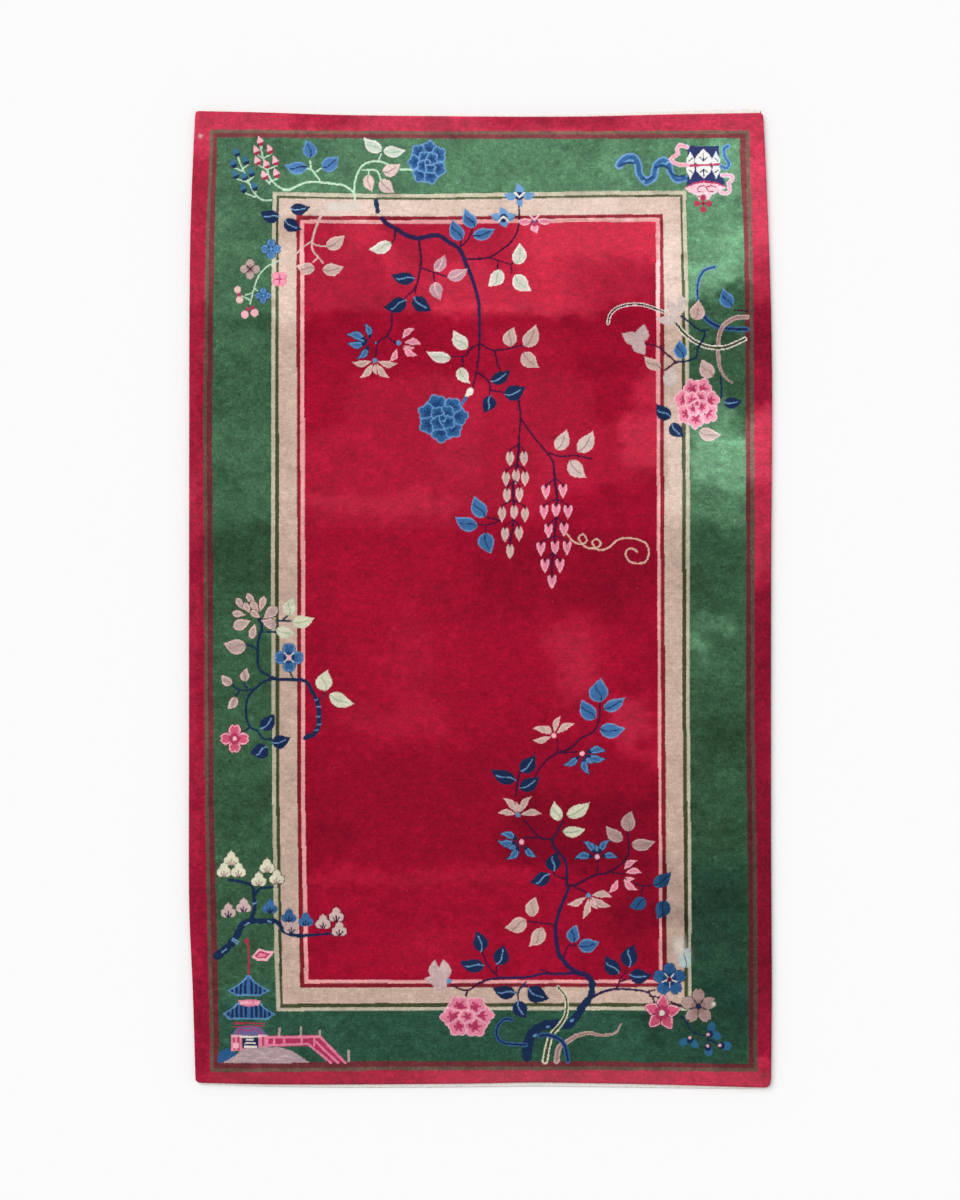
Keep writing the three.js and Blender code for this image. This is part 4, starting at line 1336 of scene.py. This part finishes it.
# How the yarn's fibres and streaks vary it, each way from the middle
FIBRE_SHADE = 0.16
STREAK_SHADE = 0.07
STREAK_STRETCH = (0.12, 1, 1)  # streaks run across the rug
FIBRE_ROUGH = (-0.08, 0.05)  # added to the roughness where the fibres are low and high
FIBRE_RELIEF = 0.5  # strength of their bump
WOOL_SPECULAR = 0.05
SHEEN_ROUGH = 0.5
NOISE_RANGE = (0.3, 0.7)  # the values that a noise texture really takes
MIX_FIRST, MIX_SECOND, MIX_RESULT = 6, 7, 2  # the colour sockets of a Mix node


def new_material(name):
    material = bpy.data.materials.new(name)
    material.use_nodes = True
    return material, material.node_tree.nodes, material.node_tree.links


def noise_node(nodes, links, scale, detail, stretch=(1, 1, 1)):
    place = nodes.new("ShaderNodeTexCoord")
    mapping = nodes.new("ShaderNodeMapping")
    mapping.inputs["Scale"].default_value = stretch
    noise = nodes.new("ShaderNodeTexNoise")
    noise.inputs["Scale"].default_value = scale
    noise.inputs["Detail"].default_value = detail
    links.new(place.outputs["Object"], mapping.inputs["Vector"])
    links.new(mapping.outputs["Vector"], noise.inputs["Vector"])
    return noise.outputs["Fac"]


def ranged(nodes, links, value, low, high):
    node = nodes.new("ShaderNodeMapRange")
    node.inputs["From Min"].default_value = NOISE_RANGE[0]
    node.inputs["From Max"].default_value = NOISE_RANGE[1]
    node.inputs["To Min"].default_value = low
    node.inputs["To Max"].default_value = high
    links.new(value, node.inputs["Value"])
    return node.outputs["Result"]


def product(nodes, links, first, second):
    node = nodes.new("ShaderNodeMix")
    node.data_type = "RGBA"
    node.blend_type = "MULTIPLY"
    node.inputs["Factor"].default_value = 1
    links.new(first, node.inputs[MIX_FIRST])
    links.new(second, node.inputs[MIX_SECOND])
    return node.outputs[MIX_RESULT]


# Yarn whose colour is painted on the mesh: fibres and weft streaks vary it, and the fibres roughen it.
def yarn_material(name, fibre, streak, bump, sheen, rough):
    material, nodes, links = new_material(name)
    shader = nodes["Principled BSDF"]
    paint = nodes.new("ShaderNodeAttribute")
    paint.attribute_name = "yarn"
    fibres = noise_node(nodes, links, fibre, detail=3)
    streaks = noise_node(nodes, links, streak, detail=2, stretch=STREAK_STRETCH)
    fibre_shade = ranged(nodes, links, fibres, 1 - FIBRE_SHADE, 1 + FIBRE_SHADE)
    streak_shade = ranged(nodes, links, streaks, 1 - STREAK_SHADE, 1 + STREAK_SHADE)
    colour = product(nodes, links, paint.outputs["Color"], fibre_shade)
    colour = product(nodes, links, colour, streak_shade)
    links.new(colour, shader.inputs["Base Color"])
    low, high = FIBRE_ROUGH
    links.new(ranged(nodes, links, fibres, rough + low, rough + high), shader.inputs["Roughness"])
    relief = nodes.new("ShaderNodeBump")
    relief.inputs["Strength"].default_value = FIBRE_RELIEF
    relief.inputs["Distance"].default_value = bump
    links.new(fibres, relief.inputs["Height"])
    links.new(relief.outputs["Normal"], shader.inputs["Normal"])
    shader.inputs["Specular IOR Level"].default_value = WOOL_SPECULAR
    shader.inputs["Sheen Weight"].default_value = sheen
    shader.inputs["Sheen Roughness"].default_value = SHEEN_ROUGH
    return material


wool = yarn_material("wool_pile", fibre=850, streak=420, bump=0.0008, sheen=0.04, rough=0.92)
cotton = yarn_material("cotton_ground", fibre=1400, streak=500, bump=0.0003, sheen=0.05, rough=0.90)
foundation = yarn_material("knotted_back", fibre=1100, streak=420, bump=0.0004, sheen=0.04, rough=0.92)


# A mesh of quads with a colour at each of their corners.
def quad_piece(name, points, quads, corner_colours, material):
    used, quads = np.unique(quads, return_inverse=True)
    quads = quads.reshape(-1, 4)
    mesh = bpy.data.meshes.new(name)
    mesh.vertices.add(len(used))
    mesh.vertices.foreach_set("co", points[used].astype(np.float32).ravel())
    mesh.loops.add(quads.size)
    mesh.loops.foreach_set("vertex_index", quads.astype(np.int32).ravel())
    mesh.polygons.add(len(quads))
    mesh.polygons.foreach_set("loop_start", np.arange(0, quads.size, 4, dtype=np.int32))
    mesh.polygons.foreach_set("use_smooth", np.ones(len(quads), bool))
    mesh.update(calc_edges=True)
    rgba = np.ones((quads.size, 4), np.float32)
    rgba[:, :3] = np.clip(corner_colours.reshape(-1, 3), 0, 1)
    paint = mesh.color_attributes.new("yarn", "FLOAT_COLOR", "CORNER")
    paint.data.foreach_set("color", rgba.ravel())
    mesh.materials.append(material)
    piece = bpy.data.objects.new(name, mesh)
    bpy.context.scene.collection.objects.link(piece)
    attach(piece, "root")
    return piece


# Corner numbers of a grid's quads, anticlockwise seen from above. The rows run from far to near.
def grid_quads(rows, columns):
    first = np.arange(rows)[:, None] * (columns + 1) + np.arange(columns)[None, :]
    below = first + columns + 1
    return np.stack([below, below + 1, first + 1, first], axis=2)


# The four corner colours of each quad of a grid that is sampled twice as finely.
def corner_quarters(samples):
    far, near = samples[::2], samples[1::2]
    return np.stack([near[:, ::2], near[:, 1::2], far[:, 1::2], far[:, ::2]], axis=2)


pile_quads = grid_quads(ROWS, COLUMNS)
pile_colours = corner_quarters(colours)
zone = ring[::2, ::2]
far_half = np.arange(ROWS)[:, None] < ROWS // 2
PILE_ZONES = {
    "pile_border_green": zone == GREEN,
    "pile_bands": (zone > GREEN) & (zone < FIELD),
    "pile_field_far": (zone == FIELD) & far_half,
    "pile_field_near": (zone == FIELD) & ~far_half,
}
flat_points = pile_points.reshape(-1, 3)
for name, cells in PILE_ZONES.items():
    quad_piece(name, flat_points, pile_quads[cells], pile_colours[cells], wool)


# The rim's wall under the pile's edge: how high each step down it is, and how far it is tucked under
Step = namedtuple("Step", "height tuck")
RIM_STEPS = (Step(RIM_LOW, 0.0), Step(0.0028, 0.0012), Step(0.0012, 0.0032))
RIM_PAINTED_SHADE = 0.8  # painted shade: the wall is this much darker than the pile's edge


# The outer border with its rim: the knots of the border, then a wall that rounds under along the outline,
# its colour darkened as painted shade.
def border_piece():
    cells = zone < GREEN
    loop = np.concatenate(
        [
            np.arange(COLUMNS),
            COLUMNS + np.arange(ROWS) * (COLUMNS + 1),
            (ROWS + 1) * (COLUMNS + 1) - 1 - np.arange(COLUMNS),
            (ROWS - np.arange(ROWS)) * (COLUMNS + 1),
        ]
    )
    top = flat_points[loop]
    ahead = np.roll(top, -1, axis=0) - np.roll(top, 1, axis=0)
    inward = np.stack([ahead[:, 1], -ahead[:, 0], np.zeros(len(loop))], axis=1)
    inward /= np.linalg.norm(inward, axis=1)[:, None]
    rings = [loop]
    points = [flat_points]
    count = len(flat_points)
    for height, tuck in RIM_STEPS:
        wall = top + inward * tuck
        wall[:, 2] = height + rng.uniform(-1, 1, len(loop)) * KNOT_HEIGHT
        rings.append(count + np.arange(len(loop)))
        points.append(wall)
        count += len(loop)
    walls = []
    for upper, lower in zip(rings, rings[1:]):
        walls.append(np.stack([upper, np.roll(upper, -1), np.roll(lower, -1), lower], axis=1))
    walls = np.concatenate(walls)
    rim_colours = np.concatenate([colours[0, ::2], colours[::2, -1], colours[-1, ::-2], colours[::-2, 0]])
    # The wall's colours are the edge's own, darkened as painted shade.
    rim_colours = np.tile(rim_colours * RIM_PAINTED_SHADE, (len(RIM_STEPS), 1))
    rim_colours = np.repeat(rim_colours[:, None], 4, axis=1)
    quads = np.concatenate([pile_quads[cells], walls])
    corner_colours = np.concatenate([pile_colours[cells], rim_colours])
    return quad_piece("pile_border_red", np.concatenate(points), quads, corner_colours, wool)


border_piece()


# The back's colour: a share of each knot's own wool, and a share of the cotton that it is tied to
BACK_WOOL = 0.72
BACK_COTTON = 0.16
GROUND_COLOUR = (196, 182, 160)


# The back: the same knots seen from below, flatter and duller, pressed into ridges by the wefts.
def back_piece():
    rows, columns = ROWS // 2, COLUMNS // 2
    grid = stretched_grid(web_edges, rows, columns)
    ridges = np.where(np.arange(rows + 1) % 2, 1.0, -1.0)[:, None] * BACK_RIDGE
    lumps = rng.uniform(-1, 1, (rows + 1, columns + 1)) * BACK_LUMPS
    points = np.concatenate([grid, (BACK_HEIGHT + ridges + lumps)[..., None]], axis=2)
    knots = colours.reshape(ROWS, 2, COLUMNS, 2, 3).mean((1, 3))
    dull = knots * BACK_WOOL + linear(GROUND_COLOUR) * BACK_COTTON
    quads = grid_quads(rows, columns)[..., ::-1].reshape(-1, 4)
    corners = corner_quarters(dull)[..., ::-1, :].reshape(-1, 4, 3)
    return quad_piece("rug_back", points.reshape(-1, 3), quads, corners, foundation)


back = back_piece()


# The cotton webs past the pile's ends
WEB_UNDER = 0.0006  # height of a web's underside
WEB_TUCK = 0.006  # how far it reaches in under the pile
WARP_RIB = 0.0006  # height of the ribs that its warps make
PER_WARP = 3  # points across one rib
RAGGED = (-0.0012, 0.0004)  # how far the cut tips of the warps end short of the edge or past it
WEB_COLOUR = (244, 240, 234)
WEB_SPREAD = 0.06  # unevenness of its lightness
Bend = namedtuple("Bend", "share height")  # a web's profile, from under the pile outwards and back below
WEB_PROFILE = (
    Bend(0.0, WEB_TOP),
    Bend(0.5, WEB_TOP),
    Bend(0.85, WEB_TOP - 0.0004),
    Bend(1.0, WEB_TOP * 0.55),
    Bend(0.92, WEB_UNDER),
    Bend(0.4, WEB_UNDER),
    Bend(0.0, WEB_UNDER),
)


# A cotton web past the end of the pile: a thin woven strip, ribbed by its warps, with their cut tips at the
# edge.
def web_piece(name, web_edge, pile_edge):
    count = COLUMNS * PER_WARP + 1
    outer = spaced(web_edge, count)
    inner = spaced(pile_edge, count)
    outward = math.copysign(1.0, outer[count // 2, 1])
    phase = np.arange(count) / PER_WARP
    rib = 0.5 + 0.5 * np.cos(2 * math.pi * phase)
    ragged = np.repeat(rng.uniform(*RAGGED, COLUMNS + 1), PER_WARP)[:count]
    inner_y = inner[:, 1] - outward * WEB_TUCK
    outer_y = outer[:, 1] + outward * ragged * rib
    lines = []
    for share, height in WEB_PROFILE:
        y = inner_y + (outer_y - inner_y) * share
        lift = (rib - 0.5) * WARP_RIB * (height > WEB_UNDER)
        lines.append(np.stack([outer[:, 0], y, height + lift], axis=1))
    points = np.concatenate(lines)
    first = np.arange(len(WEB_PROFILE) - 1)[:, None] * count + np.arange(count - 1)[None, :]
    above = first + count
    corners = [first, first + 1, above + 1, above] if outward > 0 else [first, above, above + 1, first + 1]
    quads = np.stack(corners, axis=2).reshape(-1, 4)
    shade = 1 + rng.standard_normal(len(quads)) * WEB_SPREAD
    tint = np.repeat((linear(WEB_COLOUR)[None, :] * shade[:, None])[:, None, :], 4, axis=1)
    return quad_piece(name, points, quads, tint, cotton)


webs = [
    web_piece("end_web_far", web_edges[0], pile_edges[0]),
    web_piece("end_web_near", web_edges[1], pile_edges[1]),
]
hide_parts("rug")


# The floor: a wide pale matt disc that curves up far away, so that no edge of it shows in a low view
Round = namedtuple("Round", "radius height")
FLOOR_RINGS = (Round(40.0, 0.0), Round(52.0, 1.2), Round(60.0, 4.0), Round(64.0, 9.0))
FLOOR_SIDES = 96
FLOOR_DROP = 0.0002  # the floor lies this far under the rug
FLOOR_COLOUR = (0.985, 0.985, 0.985, 1)
FLOOR_ROUGH = (0.80, 0.90)
FLOOR_SPECULAR = 0.1
FLOOR_CLOUDS = 6  # scale of the noise in its roughness


def floor_piece():
    material, nodes, links = new_material("floor_pale")
    shader = nodes["Principled BSDF"]
    shader.inputs["Base Color"].default_value = FLOOR_COLOUR
    clouds = noise_node(nodes, links, FLOOR_CLOUDS, detail=2)
    links.new(ranged(nodes, links, clouds, *FLOOR_ROUGH), shader.inputs["Roughness"])
    shader.inputs["Specular IOR Level"].default_value = FLOOR_SPECULAR
    turns = np.arange(FLOOR_SIDES) * 2 * math.pi / FLOOR_SIDES
    corners = [(r * math.cos(turn), r * math.sin(turn), z) for r, z in FLOOR_RINGS for turn in turns]
    faces = [list(range(FLOOR_SIDES))]
    for start in range(0, len(corners) - FLOOR_SIDES, FLOOR_SIDES):
        for side in range(FLOOR_SIDES):
            after = (side + 1) % FLOOR_SIDES
            outer = start + FLOOR_SIDES
            faces.append([start + side, outer + side, outer + after, start + after])
    mesh = bpy.data.meshes.new("floor")
    mesh.from_pydata(corners, [], faces)
    mesh.materials.append(material)
    floor = bpy.data.objects.new("floor", mesh)
    floor.location.z = -FLOOR_DROP
    bpy.context.scene.collection.objects.link(floor)


floor_piece()

# Camera: straight above the middle of the sheet, framing the whole of it as the photo does
SHEET = (960, 1200)  # squares across and down
LENS = 70.0  # millimetres
SENSOR = 36.0  # millimetres
camera_data = bpy.data.cameras.new("camera")
camera_data.lens = LENS
camera_data.sensor_width = SENSOR
camera = bpy.data.objects.new("camera", camera_data)
look_x = (SHEET[0] / 2 - MIDDLE[0]) * SQUARE
look_y = (MIDDLE[1] - SHEET[1] / 2) * SQUARE
camera.location = (look_x, look_y, PILE_TOP + SHEET[1] * SQUARE * LENS / SENSOR)
camera.rotation_euler = (0, 0, 0)
bpy.context.scene.collection.objects.link(camera)
bpy.context.scene.camera = camera

# Light: an even pale surround and one broad soft key from the far left
SURROUND = 0.55
KEY = 1.75
KEY_SPREAD = math.radians(50)  # the angle that the key fills, as a broad soft box does
KEY_TILT = (math.radians(-28), math.radians(-30), 0)
world = bpy.data.worlds.new("studio")
world.use_nodes = True
world.node_tree.nodes["Background"].inputs["Color"].default_value = (1, 1, 1, 1)
world.node_tree.nodes["Background"].inputs["Strength"].default_value = SURROUND
bpy.context.scene.world = world
key_data = bpy.data.lights.new("key", "SUN")
key_data.energy = KEY
key_data.angle = KEY_SPREAD
key = bpy.data.objects.new("key", key_data)
key.rotation_euler = KEY_TILT
bpy.context.scene.collection.objects.link(key)
bpy.context.scene.view_settings.view_transform = "Standard"
bpy.context.scene.view_settings.look = "None"
